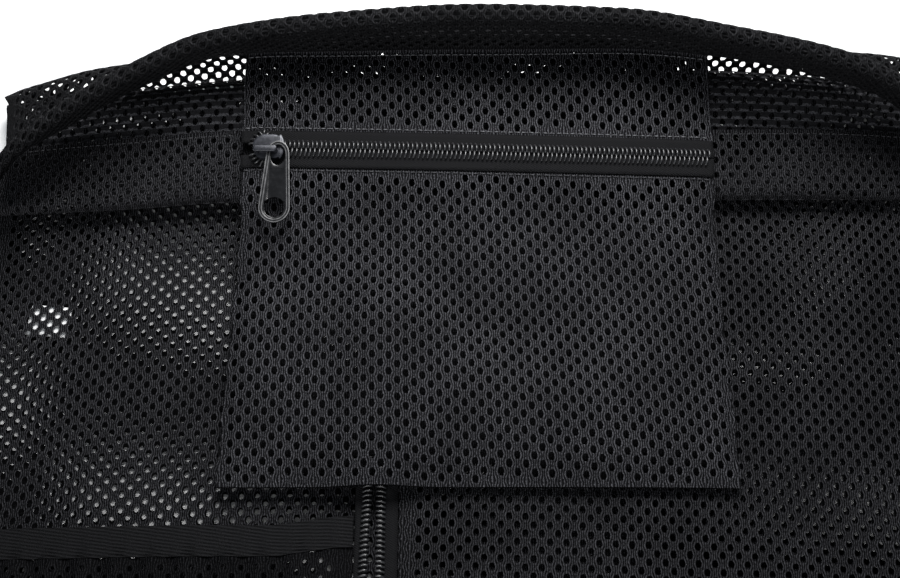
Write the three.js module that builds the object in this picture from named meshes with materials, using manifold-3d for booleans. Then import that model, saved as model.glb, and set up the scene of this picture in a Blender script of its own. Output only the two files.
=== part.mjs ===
// Mesh drawstring bag on its back, its mouth rolled open and its inner zip pocket pulled out over the front.
// Millimetres. X runs across the bag, Y from the bottom seam to the mouth, Z up from the surface it lies on.
import * as THREE from 'three';
import { mergeVertices } from 'three/addons/utils/BufferGeometryUtils.js';
import Module from 'manifold-3d';

const wasm = await Module();
wasm.setup();

// Cloth
const wall = 1.2;
const pocketCloth = 1.0;
const tapeCloth = 0.9;
const gap = 0.3;
const layer = wall + gap;
const slack = 0.6;
const panelLift = layer + slack;

// Bag body
const halfWidth = 167;
const bottomY = -179;
const floorZ = wall / 2;
const seamZ = floorZ + layer;
const bodyRise = 12;
const hemDepth = 25;
const hemLoop = 3;

// Back wall at the mouth: where it turns up, and where its rim stands, across the bag
const backSections = [
  { across: -167, backY: 159.5, radius: 7.5, rimX: -157, rimY: 111, rimZ: 36, lean: 45 },
  { across: -156, backY: 162, radius: 9.9, rimX: -150, rimY: 119, rimZ: 44, lean: 30 },
  { across: -134, backY: 168.5, radius: 10.5, rimX: -133, rimY: 134, rimZ: 47, lean: 18 },
  { across: -113, backY: 172, radius: 10.5, rimX: -114, rimY: 145, rimZ: 50, lean: 16 },
  { across: -85, backY: 176, radius: 10.5, rimX: -87, rimY: 155.4, rimZ: 54.9, lean: 13 },
  { across: -44, backY: 178, radius: 10.5, rimX: -45, rimY: 161.3, rimZ: 58, lean: 1 },
  { across: 0, backY: 178.45, radius: 10.5, rimX: 0, rimY: 163.2, rimZ: 60, lean: -4.5 },
  { across: 44, backY: 178.2, radius: 10.5, rimX: 45, rimY: 162.3, rimZ: 58.9, lean: 0 },
  { across: 85, backY: 177, radius: 10.5, rimX: 86, rimY: 155.6, rimZ: 56.6, lean: 9 },
  { across: 116, backY: 176, radius: 10.5, rimX: 118, rimY: 150.4, rimZ: 51.6, lean: 11 },
  { across: 138, backY: 175, radius: 10.5, rimX: 137, rimY: 142, rimZ: 48.5, lean: 17 },
  { across: 156, backY: 172.5, radius: 9.9, rimX: 151, rimY: 126, rimZ: 44, lean: 30 },
  { across: 167, backY: 170, radius: 7.5, rimX: 157, rimY: 118, rimZ: 36, lean: 45 },
];

// Front wall at the mouth: the roll, and the rim of the cuff that comes back over the front
const frontSections = [
  { across: -167, rollY: 151.6, radius: 5.3, rimX: -163, rimY: 113.5, rimZ: 8 },
  { across: -120, rollY: 148.9, radius: 9, rimX: -118, rimY: 114.7, rimZ: 12.5 },
  { across: -80, rollY: 150.4, radius: 9.8, rimX: -79.5, rimY: 116, rimZ: 15.5 },
  { across: 0, rollY: 151.8, radius: 10, rimX: 0, rimY: 116, rimZ: 16.5 },
  { across: 80, rollY: 154.2, radius: 9.8, rimX: 79.5, rimY: 116.4, rimZ: 16 },
  { across: 120, rollY: 153.7, radius: 9, rimX: 118, rimY: 117.8, rimZ: 13.5 },
  { across: 167, rollY: 162.2, radius: 5.3, rimX: 163, rimY: 119, rimZ: 8 },
];

// Soft folds in the front wall: a line from one point to another, its depth and its breadth
const frontFolds = [
  { fromX: 76, fromY: 48, toX: 122, toY: -14, depth: -2.4, breadth: 13 },
  { fromX: -150, fromY: 52, toX: -92, toY: 6, depth: 1.6, breadth: 15 },
];

// Inner pocket, pulled out over the cuff
const pocket = {
  topHalf: 78, bottomHalf: 80.8, bottomY: 18.6, zipY: 127.4, zipTilt: 0.022, tapeReach: 6.2,
  closed: 1.7, open: 1.6, seam: 5, puff: 2.4,
};
const pocketCrease = { fromX: -76, fromY: 100, toX: 30, toY: 66, breadth: 11 };

// Zips: half widths from the closing line of the two coils
const coil = { inner: 0.3, breadth: 2.6, height: 1.4 };
const pocketSpread = { start: -64, end: -75, reach: 2 };
const frontZip = {
  x: -31.4, top: 76, bottom: -160, sliderY: 56, open: 6, rate: 0.0085, leftEdge: -38, rightEdge: -24.9,
};

// Slider and its pull
const slider = { x: -68.5, length: 10.4, breadth: 8.4, plate: 0.8, neck: 2.4, neckY: 1.8, neckX: -3.4 };
const bridge = { left: -4.6, foot: 1.6, postX: 2.4, postY: -1.6, breadth: 2.2, height: 1.35, postRadius: 0.75 };
const pull = {
  thickness: 1.1, neckHalf: 3.75, endHalf: 5.1, eyeX: 1, eyeY: -1.8, eyeHalfX: 2.5, eyeHalfY: 3.5,
  rimTop: 1.25, tipY: -24.5, holeHalf: 3.4, holeTop: -17.4, tilt: 1.7, lean: -2.4,
};

// Front pockets
const elastic = { thickness: 1.4, breadth: 9.3, topY: 7.5, rise: 2.8, left: -159, right: -38.4 };
const slip = { left: -158, right: -38.4, bottom: -170, bulge: 3, gather: 1.2, pitch: 11, fade: 70 };
const zipPanel = { left: -24.6, right: 160, bottom: -170, top: 124 };
const label = { x: -142.8, y: 76.8, breadth: 14.4, height: 10.4, thickness: 0.6, turn: -8 };

const meshCloth = new THREE.MeshStandardMaterial({ color: 0x1a1a1d, roughness: 0.9, metalness: 0 });
const pocketMesh = new THREE.MeshStandardMaterial({ color: 0x1d1d21, roughness: 0.85, metalness: 0 });
const tapeWeave = new THREE.MeshStandardMaterial({ color: 0x19191c, roughness: 0.8, metalness: 0 });
const coilPlastic = new THREE.MeshStandardMaterial({ color: 0x121214, roughness: 0.4, metalness: 0 });
const sliderMetal = new THREE.MeshStandardMaterial({ color: 0x35373d, roughness: 0.35, metalness: 0.9 });
const elasticWeave = new THREE.MeshStandardMaterial({ color: 0x101012, roughness: 0.85, metalness: 0 });
const labelCloth = new THREE.MeshStandardMaterial({ color: 0xf2f2f2, roughness: 0.8, metalness: 0 });

const radians = THREE.MathUtils.degToRad;
const lerp = THREE.MathUtils.lerp;
const ease = THREE.MathUtils.smoothstep;

// Smooth curve through rows of values that never overshoots them
function smoothThrough(knots, values, place) {
  const last = knots.length - 1;
  const slope = (row) => (values[row + 1] - values[row]) / (knots[row + 1] - knots[row]);
  const tangent = (row) => {
    const before = slope(Math.max(row - 1, 0));
    const after = slope(Math.min(row, last - 1));
    return before * after <= 0 ? 0 : (2 * before * after) / (before + after);
  };
  let row = 0;
  while (row < last - 1 && place > knots[row + 1]) {
    row += 1;
  }
  const step = knots[row + 1] - knots[row];
  const t = THREE.MathUtils.clamp((place - knots[row]) / step, 0, 1);
  const rise = values[row + 1] - values[row];
  const start = tangent(row) * step;
  const end = tangent(row + 1) * step;
  return values[row] + t * (start + t * (3 * rise - 2 * start - end + t * (start + end - 2 * rise)));
}

// All columns of a section table at one place across the bag
function sectionAt(table, across) {
  const knots = table.map((row) => row.across);
  const section = {};
  for (const key of Object.keys(table[0])) {
    section[key] = smoothThrough(knots, table.map((row) => row[key]), across);
  }
  return section;
}

// One at the line of a fold, fading away to both sides and past its ends
function foldShare(fold, x, y) {
  const alongX = fold.toX - fold.fromX;
  const alongY = fold.toY - fold.fromY;
  const length = Math.hypot(alongX, alongY);
  const reach = ((x - fold.fromX) * alongX + (y - fold.fromY) * alongY) / length ** 2;
  const share = THREE.MathUtils.clamp(reach, 0, 1);
  const away = Math.hypot(x - fold.fromX - share * alongX, y - fold.fromY - share * alongY);
  return Math.exp(-0.5 * (away / fold.breadth) ** 2);
}

// Height of the middle of the front wall's cloth between the bottom seam and the roll
function frontHeight(x, y) {
  const { rollY } = sectionAt(frontSections, x);
  const along = (y - bottomY) / (rollY - bottomY);
  const sides = 1 - Math.abs(x / halfWidth) ** 3.2;
  const ends = ease(along, 0, 0.18) * (1 - 0.45 * ease(along, 0.8, 1));
  const folds = frontFolds.reduce((sum, fold) => sum + fold.depth * foldShare(fold, x, y), 0);
  return seamZ + sides * ends * (bodyRise + folds);
}

// Shares along the bag that lie closest together at its bottom, where the front wall rises most
const bottomFirst = (share) => share ** 1.5;

const evenly = (share) => lerp(-halfWidth, halfWidth, share);

// Places across the bag that lie closest together at its sides, where the mouth turns most
function sidesFirst(share) {
  const out = 2 * share - 1;
  return halfWidth * (1.3 * out - 0.3 * out ** 3);
}

// Angle at which a path round a circle, up from its lowest point, leaves it straight for a point outside it
function leavingAngle(centre, radius, target) {
  const toTarget = target.clone().sub(centre);
  const bearing = Math.atan2(toTarget.y, toTarget.x);
  const ahead = bearing < -Math.PI / 2 ? bearing + 2 * Math.PI : bearing;
  return ahead - Math.acos(radius / toTarget.length());
}

// Points in the YZ plane, from just past the first to the last
function straight(from, to, steps) {
  return Array.from({ length: steps }, (_, step) => from.clone().lerp(to, (step + 1) / steps));
}

function arc(centre, radius, from, to, steps) {
  return Array.from({ length: steps }, (_, step) => {
    const angle = lerp(from, to, (step + 1) / steps);
    return new THREE.Vector2(Math.cos(angle), Math.sin(angle)).multiplyScalar(radius).add(centre);
  });
}

// Hem turned over the rim and down again to the stitch line, on the side that the normal gives
function foldedHem(turn, along, side) {
  const centre = turn.clone().addScaledVector(side, hemLoop);
  const loop = Array.from({ length: 5 }, (_, step) => {
    const angle = ((step + 1) / 5) * Math.PI;
    const out = side.clone().multiplyScalar(-hemLoop * Math.cos(angle));
    return out.addScaledVector(along, hemLoop * Math.sin(angle)).add(centre);
  });
  const foot = turn.clone().addScaledVector(along, 1 + hemLoop - hemDepth).addScaledVector(side, layer);
  return [...loop, ...straight(loop[4], foot, 3)];
}

// Stitch line and rim of the back wall at one place across it
function backRim(across) {
  const section = sectionAt(backSections, across);
  const lean = radians(section.lean);
  const along = new THREE.Vector2(-Math.sin(lean), Math.cos(lean));
  const side = new THREE.Vector2(-Math.cos(lean), -Math.sin(lean));
  const rim = new THREE.Vector2(section.rimY, section.rimZ);
  const turn = rim.clone().addScaledVector(along, -hemLoop).addScaledVector(side, -hemLoop);
  const stitch = turn.clone().addScaledVector(along, hemLoop - hemDepth);
  return { section, along, side, turn, stitch };
}

const floorSteps = 8;

function backProfile(across) {
  const { section, along, side, turn, stitch } = backRim(across);
  const centre = new THREE.Vector2(section.backY - section.radius, floorZ + section.radius);
  const leave = leavingAngle(centre, section.radius, stitch);
  const start = new THREE.Vector2(bottomY, floorZ);
  const flat = [start, ...straight(start, new THREE.Vector2(centre.x, floorZ), floorSteps)];
  const curl = arc(centre, section.radius, -Math.PI / 2, leave, 7);
  const rise = straight(curl[6], stitch, 2);
  const path = [...flat, ...curl, ...rise, ...straight(stitch, turn, 2), ...foldedHem(turn, along, side)];
  const turned = flat.length;
  return path.map((point, step) => {
    const x = lerp(across, section.rimX, ease(step, turned + 3, turned + 10));
    return new THREE.Vector3(x, point.x, point.y);
  });
}

// The part of the back wall that lies flat, and the part that turns up to the mouth
function backFloor(across) {
  const flat = backProfile(across).slice(0, floorSteps + 1);
  flat[floorSteps].y -= gap;
  return flat;
}

const backMouth = (across) => backProfile(across).slice(floorSteps);

function frontProfile(across) {
  const section = sectionAt(frontSections, across);
  const body = Array.from({ length: 15 }, (_, step) => {
    const y = lerp(bottomY, section.rollY, bottomFirst(step / 14));
    return new THREE.Vector2(y, frontHeight(across, y));
  });
  const centre = new THREE.Vector2(section.rollY, body[14].y + section.radius);
  const turn = new THREE.Vector2(section.rimY + hemLoop, section.rimZ);
  const leave = leavingAngle(centre, section.radius, turn);
  const roll = arc(centre, section.radius, -Math.PI / 2, leave, 8);
  const along = turn.clone().sub(roll[7]).normalize();
  const side = new THREE.Vector2(along.y, -along.x);
  const path = [...body, ...roll, ...straight(roll[7], turn, 4), ...foldedHem(turn, along, side)];
  return path.map((point, step) => {
    const x = lerp(across, section.rimX, ease(step, 15, 26));
    return new THREE.Vector3(x, point.x, point.y);
  });
}

// Height of the middle of the pocket's rear cloth, over the cuff and down on to the front
function pocketHeight(x, y) {
  const section = sectionAt(frontSections, x);
  const { stitch } = backRim(x);
  const clear = wall / 2 + gap + pocketCloth / 2;
  const rollTop = frontHeight(x, section.rollY) + 2 * section.radius;
  const cuffAt = (reach) => lerp(section.rimZ, rollTop, reach / (section.rollY - section.rimY));
  const pastZip = ease(y, frontZip.top, frontZip.top + 20);
  const zipRidge = 4.6 * Math.exp(-(((x - frontZip.x) / 11) ** 2)) * (1 - pastZip);
  const onFront = frontHeight(x, Math.min(y, section.rimY)) + panelLift + clear + slack + zipRidge;
  const onRim = section.rimZ + 2 * hemLoop + clear + slack;
  const knots = [-30, -13, 1, 12, 22, section.rollY + 1 - section.rimY, stitch.x - 1.5 - section.rimY];
  const values = [
    onFront,
    lerp(onFront, onRim, 0.45),
    onRim,
    cuffAt(12) + hemLoop + layer / 2 + clear + slack,
    cuffAt(22) + layer + clear + slack,
    rollTop + clear + slack,
    stitch.y - 2.1,
  ];
  return smoothThrough(knots, values, y - section.rimY);
}

const zipLine = (x) => pocket.zipY - pocket.zipTilt * x;
const pocketTopY = (x) => backRim(x).stitch.x - wall / 2 - 2 * gap;
const pocketHalf = (y) => lerp(pocket.bottomHalf, pocket.topHalf, ease(y, pocket.bottomY, pocket.zipY));

// Height of the middle of the pocket's outer cloth: joined to the rear at the seams, slack between them
function pocketFace(x, y) {
  const atZip = Math.exp(-(((y - zipLine(x)) / 9) ** 2));
  const fromSide = lerp(ease(pocketHalf(y) - Math.abs(x), 0, pocket.seam), 1, atZip);
  const fromTop = ease(pocketTopY(x) - y, 0, 3 * pocket.seam);
  const fromBottom = ease(y - pocket.bottomY, 0, 2 * pocket.seam);
  const loose = ease(y, pocket.bottomY, pocket.bottomY + 35) * (1 - ease(y, 80, 118)) * fromSide;
  const flatAtCrease = 1 - 0.85 * foldShare(pocketCrease, x, y);
  const puff = pocket.puff * loose * flatAtCrease * (1 - (x / pocket.bottomHalf) ** 4);
  return pocketHeight(x, y) + pocket.closed + pocket.open * fromSide * fromTop * fromBottom + puff;
}

// Closed sheet of cloth about a grid of points, rows by columns
function sheetGeometry(grid, thickness) {
  const rows = grid.length;
  const columns = grid[0].length;
  const positions = [];
  const normalAt = (row, column) => {
    const acrossFrom = grid[row][Math.max(column - 1, 0)];
    const across = grid[row][Math.min(column + 1, columns - 1)].clone().sub(acrossFrom);
    const alongFrom = grid[Math.max(row - 1, 0)][column];
    const along = grid[Math.min(row + 1, rows - 1)][column].clone().sub(alongFrom);
    return across.cross(along).normalize();
  };
  for (const side of [0.5, -0.5]) {
    for (let row = 0; row < rows; row += 1) {
      for (let column = 0; column < columns; column += 1) {
        const point = grid[row][column].clone().addScaledVector(normalAt(row, column), side * thickness);
        positions.push(point.x, point.y, point.z);
      }
    }
  }
  const under = rows * columns;
  const at = (row, column) => row * columns + column;
  const index = [];
  for (let row = 0; row < rows - 1; row += 1) {
    for (let column = 0; column < columns - 1; column += 1) {
      const corners = [at(row, column), at(row, column + 1), at(row + 1, column + 1), at(row + 1, column)];
      index.push(corners[0], corners[1], corners[2], corners[0], corners[2], corners[3]);
      const below = corners.map((corner) => corner + under);
      index.push(below[0], below[2], below[1], below[0], below[3], below[2]);
    }
  }
  const edge = [];
  for (let column = 0; column < columns - 1; column += 1) {
    edge.push([at(0, column + 1), at(0, column)], [at(rows - 1, column), at(rows - 1, column + 1)]);
  }
  for (let row = 0; row < rows - 1; row += 1) {
    edge.push([at(row, 0), at(row + 1, 0)], [at(row + 1, columns - 1), at(row, columns - 1)]);
  }
  for (const [from, to] of edge) {
    index.push(from, to, to + under, from, to + under, from + under);
  }
  const geometry = new THREE.BufferGeometry();
  geometry.setAttribute('position', new THREE.Float32BufferAttribute(positions, 3));
  geometry.setIndex(index);
  geometry.computeVertexNormals();
  return geometry;
}

function addMesh(parent, name, geometry, material) {
  const mesh = new THREE.Mesh(geometry, material);
  mesh.name = name;
  parent.add(mesh);
  return mesh;
}

// Sheet whose points come from shares across and along it
function addSheet(name, columns, rows, thickness, material, pointAt) {
  const grid = Array.from({ length: rows + 1 }, (_, row) =>
    Array.from({ length: columns + 1 }, (__, column) => pointAt(column / columns, row / rows)));
  return addMesh(bag, name, sheetGeometry(grid, thickness), material);
}

// Wall whose bottom to mouth profile is worked out at each place across it
function addWall(name, columns, placeAt, profile) {
  const strips = Array.from({ length: columns + 1 }, (_, column) => profile(placeAt(column / columns)));
  const grid = strips[0].map((_, row) => strips.map((strip) => strip[row]));
  return addMesh(bag, name, sheetGeometry(grid, wall), meshCloth);
}

// Booleans between closed geometries
function toSolid(geometry) {
  const bare = geometry.clone();
  bare.deleteAttribute('normal');
  bare.deleteAttribute('uv');
  const merged = mergeVertices(bare, 1e-4);
  const vertProperties = new Float32Array(merged.attributes.position.array);
  const triVerts = new Uint32Array(merged.index.array);
  return new wasm.Manifold(new wasm.Mesh({ numProp: 3, vertProperties, triVerts }));
}

function toGeometry(solid) {
  const { vertProperties, triVerts } = solid.getMesh();
  const geometry = new THREE.BufferGeometry();
  geometry.setAttribute('position', new THREE.Float32BufferAttribute(vertProperties, 3));
  geometry.setIndex([...triVerts]);
  geometry.computeVertexNormals();
  return geometry;
}

function block(sizeX, sizeY, sizeZ, x, y, z) {
  return new THREE.BoxGeometry(sizeX, sizeY, sizeZ).translate(x, y, z);
}

// Flat plate of an outline, from one height to another
function plate(shape, from, to, curveSegments = 8) {
  const geometry = new THREE.ExtrudeGeometry(shape, { depth: to - from, bevelEnabled: false, curveSegments });
  return geometry.translate(0, 0, from);
}

// Inner edge of the pocket's zip tapes: apart at the left, where the slider opens them
function pocketTapeEdge(x) {
  return coil.inner - 0.1 + pocketSpread.reach * ease(-x, -pocketSpread.start, -pocketSpread.end);
}

// How far the left half of the upright zip hangs open
function frontOpening(y) {
  const below = Math.max(frontZip.sliderY - y, 0);
  const stop = ease(y, frontZip.bottom, frontZip.bottom + 30);
  return frontZip.open * (1 - Math.exp(-frontZip.rate * below)) * stop;
}

// Bar of teeth along a line of points, its flat foot at the given lift above them
function addCoil(name, path, lift) {
  const half = coil.breadth / 2;
  const shoulder = { out: 0.8 * half, up: 0.75 * coil.height };
  const foot = [[-half, 0], [half, 0]];
  const section = [...foot, [shoulder.out, shoulder.up], [0, coil.height], [-shoulder.out, shoulder.up]];
  const rings = path.map((point, step) => {
    const from = path[Math.max(step - 1, 0)];
    const ahead = path[Math.min(step + 1, path.length - 1)].clone().sub(from);
    const across = new THREE.Vector3(-ahead.y, ahead.x, 0).normalize();
    return section.map(([out, up]) => {
      const corner = point.clone().addScaledVector(across, out);
      corner.z += lift + up;
      return corner;
    });
  });
  const sides = section.length;
  const index = [];
  for (let step = 0; step < rings.length - 1; step += 1) {
    for (let side = 0; side < sides; side += 1) {
      const a = step * sides + side;
      const b = step * sides + (side + 1) % sides;
      index.push(a, b, b + sides, a, b + sides, a + sides);
    }
  }
  const lastRing = (rings.length - 1) * sides;
  for (let side = 1; side < sides - 1; side += 1) {
    index.push(0, side + 1, side, lastRing, lastRing + side, lastRing + side + 1);
  }
  const geometry = new THREE.BufferGeometry().setFromPoints(rings.flat());
  geometry.setIndex(index);
  geometry.computeVertexNormals();
  addMesh(bag, name, geometry, coilPlastic);
}

const tapeLift = tapeCloth / 2 + gap;
const chainTop = tapeLift + coil.height;
const plateFoot = chainTop + gap;
const plateTop = plateFoot + slider.plate;
const pullFoot = plateTop + gap;
const bridgeFoot = pullFoot + pull.thickness + gap;
const bridgeTop = bridgeFoot + bridge.height;

// Outline of the slider's plates: round at the left, narrower and square at the right
function sliderOutline() {
  const half = slider.length / 2;
  const breadth = slider.breadth / 2;
  const shape = new THREE.Shape();
  const roundX = breadth - half;
  shape.moveTo(half, -breadth * 0.66);
  shape.lineTo(half, breadth * 0.66);
  shape.lineTo(half * 0.3, breadth * 0.92);
  shape.absarc(roundX, 0, breadth, Math.PI / 2, Math.PI, false);
  shape.absarc(roundX, 0, breadth, Math.PI, Math.PI * 1.5, false);
  shape.lineTo(half * 0.3, -breadth * 0.92);
  shape.closePath();
  return shape;
}

// Two plates joined by the neck between the parted coils
function sliderBody() {
  const lower = plate(sliderOutline(), -tapeLift - slider.plate, -tapeLift, 6);
  const upper = plate(sliderOutline(), plateFoot, plateTop, 6);
  const foot = -tapeLift - slider.plate;
  const neckHeight = plateTop - foot - 0.4;
  const neck = block(slider.neck, slider.neckY, neckHeight, slider.neckX, 0, (plateTop + foot) / 2);
  return toSolid(lower).add(toSolid(upper)).add(toSolid(neck));
}

// Bridge over the upper plate: a foot at the left, a bar, and the post that the pull hangs on
function pocketSlider() {
  const barLength = bridge.postX + bridge.postRadius - bridge.left;
  const barX = bridge.left + barLength / 2;
  const barZ = bridgeTop - bridge.height / 2;
  const bar = block(barLength, bridge.breadth, bridge.height, barX, bridge.postY, barZ);
  const footHeight = bridgeTop - plateTop + 0.4;
  const footX = bridge.left + bridge.foot / 2;
  const footZ = bridgeTop - footHeight / 2;
  const foot = block(bridge.foot, bridge.breadth, footHeight, footX, bridge.postY, footZ);
  const post = new THREE.CylinderGeometry(bridge.postRadius, bridge.postRadius, footHeight - 0.2, 12);
  post.rotateX(Math.PI / 2).translate(bridge.postX, bridge.postY, footZ - 0.1);
  return toGeometry(sliderBody().add(toSolid(bar)).add(toSolid(foot)).add(toSolid(post)));
}

// Pull: a tapered plate with an eye at the post and an open round end
function pullTab() {
  const shape = new THREE.Shape();
  const top = pull.eyeY + pull.eyeHalfY + pull.rimTop;
  const endY = pull.tipY + pull.endHalf;
  shape.moveTo(pull.eyeX + pull.neckHalf, pull.eyeY);
  shape.quadraticCurveTo(pull.eyeX + pull.neckHalf, top, pull.eyeX, top);
  shape.quadraticCurveTo(pull.eyeX - pull.neckHalf, top, pull.eyeX - pull.neckHalf, pull.eyeY);
  shape.lineTo(pull.eyeX - pull.endHalf, endY);
  shape.absarc(pull.eyeX, endY, pull.endHalf, Math.PI, 2 * Math.PI, false);
  shape.closePath();
  const eye = new THREE.Path();
  eye.absellipse(pull.eyeX, pull.eyeY, pull.eyeHalfX, pull.eyeHalfY, 0, 2 * Math.PI, true);
  const hole = new THREE.Path();
  hole.moveTo(pull.eyeX - pull.holeHalf, pull.holeTop);
  hole.lineTo(pull.eyeX + pull.holeHalf, pull.holeTop);
  hole.lineTo(pull.eyeX + pull.holeHalf, endY);
  hole.absarc(pull.eyeX, endY, pull.holeHalf, 0, -Math.PI, true);
  hole.closePath();
  shape.holes.push(eye, hole);
  return plate(shape, 0, pull.thickness, 6);
}

const bag = new THREE.Group();

addWall('back_wall', 20, sidesFirst, backFloor);
addWall('back_mouth', 20, sidesFirst, backMouth);
addWall('front_wall', 24, evenly, frontProfile);

// Inner pocket
addSheet('pocket_back', 12, 12, pocketCloth, pocketMesh, (across, along) => {
  const y = lerp(pocket.bottomY, pocketTopY((across * 2 - 1) * pocket.topHalf), along);
  const x = (across * 2 - 1) * pocketHalf(y);
  return new THREE.Vector3(x, y, pocketHeight(x, y));
});
addSheet('pocket_front', 12, 11, pocketCloth, pocketMesh, (across, along) => {
  const level = zipLine((across * 2 - 1) * pocket.topHalf);
  const y = lerp(pocket.bottomY, level - pocket.tapeReach - gap, along);
  const x = (across * 2 - 1) * pocketHalf(y);
  return new THREE.Vector3(x, y, pocketFace(x, y));
});
addSheet('pocket_strip', 12, 5, pocketCloth, pocketMesh, (across, along) => {
  const x = (across * 2 - 1) * pocket.topHalf;
  const y = lerp(zipLine(x) + pocket.tapeReach + gap, pocketTopY(x), along);
  return new THREE.Vector3(x, y, pocketFace(x, y));
});
const zipSides = [{ name: 'upper', side: 1 }, { name: 'lower', side: -1 }];
for (const { name, side } of zipSides) {
  addSheet(`pocket_${name}_tape`, 20, 1, tapeCloth, tapeWeave, (across, along) => {
    const x = (across ** 1.25 * 2 - 1) * pocket.topHalf;
    const inner = pocketTapeEdge(x);
    const reach = side > 0 ? lerp(inner, pocket.tapeReach, along) : -lerp(pocket.tapeReach, inner, along);
    return new THREE.Vector3(x, zipLine(x) + reach, pocketFace(x, zipLine(x) + reach));
  });
  const path = Array.from({ length: 21 }, (_, step) => {
    const x = lerp(-pocket.topHalf + 1.5, pocket.topHalf - 1.5, (step / 20) ** 1.25);
    const y = zipLine(x) + side * (pocketTapeEdge(x) + 0.1 + coil.breadth / 2);
    return new THREE.Vector3(x, y, pocketFace(x, y));
  });
  addCoil(`pocket_${name}_coil`, path, tapeLift);
}
const sliderY = zipLine(slider.x);
const zipSlope = Math.atan2(pocketFace(slider.x, sliderY + 1) - pocketFace(slider.x, sliderY - 1), 2);
const sliderGroup = new THREE.Group();
sliderGroup.position.set(slider.x, sliderY, pocketFace(slider.x, sliderY));
sliderGroup.rotation.x = zipSlope;
bag.add(sliderGroup);
addMesh(sliderGroup, 'pocket_slider', pocketSlider(), sliderMetal);
const pullMesh = addMesh(sliderGroup, 'pull_tab', pullTab(), sliderMetal);
pullMesh.position.set(bridge.postX, bridge.postY, pullFoot);
pullMesh.rotation.set(radians(pull.tilt), 0, radians(pull.lean));

// Outer pockets on the front wall
addSheet('zip_panel', 12, 14, wall, meshCloth, (across, along) => {
  const x = lerp(zipPanel.left, zipPanel.right, across);
  const y = lerp(zipPanel.bottom, zipPanel.top, bottomFirst(along));
  return new THREE.Vector3(x, y, frontHeight(x, y) + panelLift);
});
addSheet('front_left_tape', 1, 16, tapeCloth, tapeWeave, (across, along) => {
  const y = lerp(frontZip.bottom, frontZip.top, bottomFirst(along));
  const x = lerp(frontZip.leftEdge, frontZip.x - coil.inner + 0.1 - frontOpening(y), across);
  return new THREE.Vector3(x, y, frontHeight(x, y) + panelLift);
});
addSheet('front_right_tape', 1, 16, tapeCloth, tapeWeave, (across, along) => {
  const y = lerp(frontZip.bottom, frontZip.top, bottomFirst(along));
  const x = lerp(frontZip.x + coil.inner - 0.1, frontZip.rightEdge, across);
  return new THREE.Vector3(x, y, frontHeight(x, y) + panelLift);
});
for (const { name, side } of [{ name: 'left', side: -1 }, { name: 'right', side: 1 }]) {
  const path = Array.from({ length: 17 }, (_, step) => {
    const y = lerp(frontZip.bottom, frontZip.top, bottomFirst(step / 16));
    const opening = side < 0 ? frontOpening(y) : 0;
    const x = frontZip.x + side * (coil.inner + coil.breadth / 2 + opening);
    return new THREE.Vector3(x, y, frontHeight(x, y) + panelLift);
  });
  addCoil(`front_${name}_coil`, path, tapeLift);
}
const frontSliderPlate = toGeometry(toSolid(plate(sliderOutline(), plateFoot, plateTop, 6)));
const frontSlider = addMesh(bag, 'front_slider', frontSliderPlate, sliderMetal);
frontSlider.position.set(frontZip.x, frontZip.sliderY, frontHeight(frontZip.x, frontZip.sliderY) + panelLift);
frontSlider.rotation.z = Math.PI / 2;

const elasticTop = (x) => elastic.topY + elastic.rise * ease(x, -66, elastic.right);
addSheet('elastic_band', 16, 2, elastic.thickness, elasticWeave, (across, along) => {
  const x = lerp(elastic.left, elastic.right, across);
  const y = elasticTop(x) - elastic.breadth * (1 - along);
  return new THREE.Vector3(x, y, frontHeight(x, y) + panelLift + 0.3);
});
addSheet('slip_pocket', 30, 8, wall, meshCloth, (across, along) => {
  const x = lerp(slip.left, slip.right, across);
  const top = elasticTop(x) - elastic.breadth - gap;
  const y = lerp(slip.bottom, top, bottomFirst(along));
  const fromEdges = ease(x - slip.left, 0, 14) * ease(slip.right - x, 0, 14) * ease(y - slip.bottom, 0, 60);
  const bulge = slip.bulge * fromEdges * ease(top - y, 0, 45);
  const wave = 1 + Math.cos((2 * Math.PI * x) / slip.pitch);
  const gathers = slip.gather * fromEdges * wave * Math.exp((y - top) / slip.fade);
  return new THREE.Vector3(x, y, frontHeight(x, y) + panelLift + bulge + gathers);
});

addSheet('label', 3, 2, label.thickness, labelCloth, (across, along) => {
  const turn = radians(label.turn);
  const out = (across - 0.5) * label.breadth;
  const up = (along - 0.5) * label.height;
  const x = label.x + out * Math.cos(turn) - up * Math.sin(turn);
  const y = label.y + out * Math.sin(turn) + up * Math.cos(turn);
  return new THREE.Vector3(x, y, frontHeight(x, y) - (wall + label.thickness) / 2 - gap);
});

export default bag;
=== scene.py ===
import math

import bpy
import numpy as np
from mathutils import Matrix, Vector


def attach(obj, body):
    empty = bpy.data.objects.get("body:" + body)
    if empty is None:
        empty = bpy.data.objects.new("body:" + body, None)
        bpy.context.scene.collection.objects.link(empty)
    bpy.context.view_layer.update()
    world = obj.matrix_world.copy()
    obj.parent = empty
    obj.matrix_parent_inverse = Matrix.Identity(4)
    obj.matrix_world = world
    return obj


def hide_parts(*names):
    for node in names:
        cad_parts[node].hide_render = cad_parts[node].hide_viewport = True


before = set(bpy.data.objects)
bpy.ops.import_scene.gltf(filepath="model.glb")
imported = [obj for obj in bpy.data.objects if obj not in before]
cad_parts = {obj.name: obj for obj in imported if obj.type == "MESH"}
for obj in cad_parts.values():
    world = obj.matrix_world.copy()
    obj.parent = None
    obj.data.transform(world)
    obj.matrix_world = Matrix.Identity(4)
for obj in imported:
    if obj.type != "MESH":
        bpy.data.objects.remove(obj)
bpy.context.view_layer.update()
mm = 0.001
rng = np.random.default_rng(41)
print("frame loaded:", len(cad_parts), "nodes")


# small helpers

def mix(start, end, share):
    return start + (end - start) * share


def ease(place, low, high):
    share = np.clip((place - low) / (high - low), 0, 1)
    return share * share * (3 - 2 * share)


def unit(vectors):
    return vectors / np.linalg.norm(vectors, axis=-1)[..., None]


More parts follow.
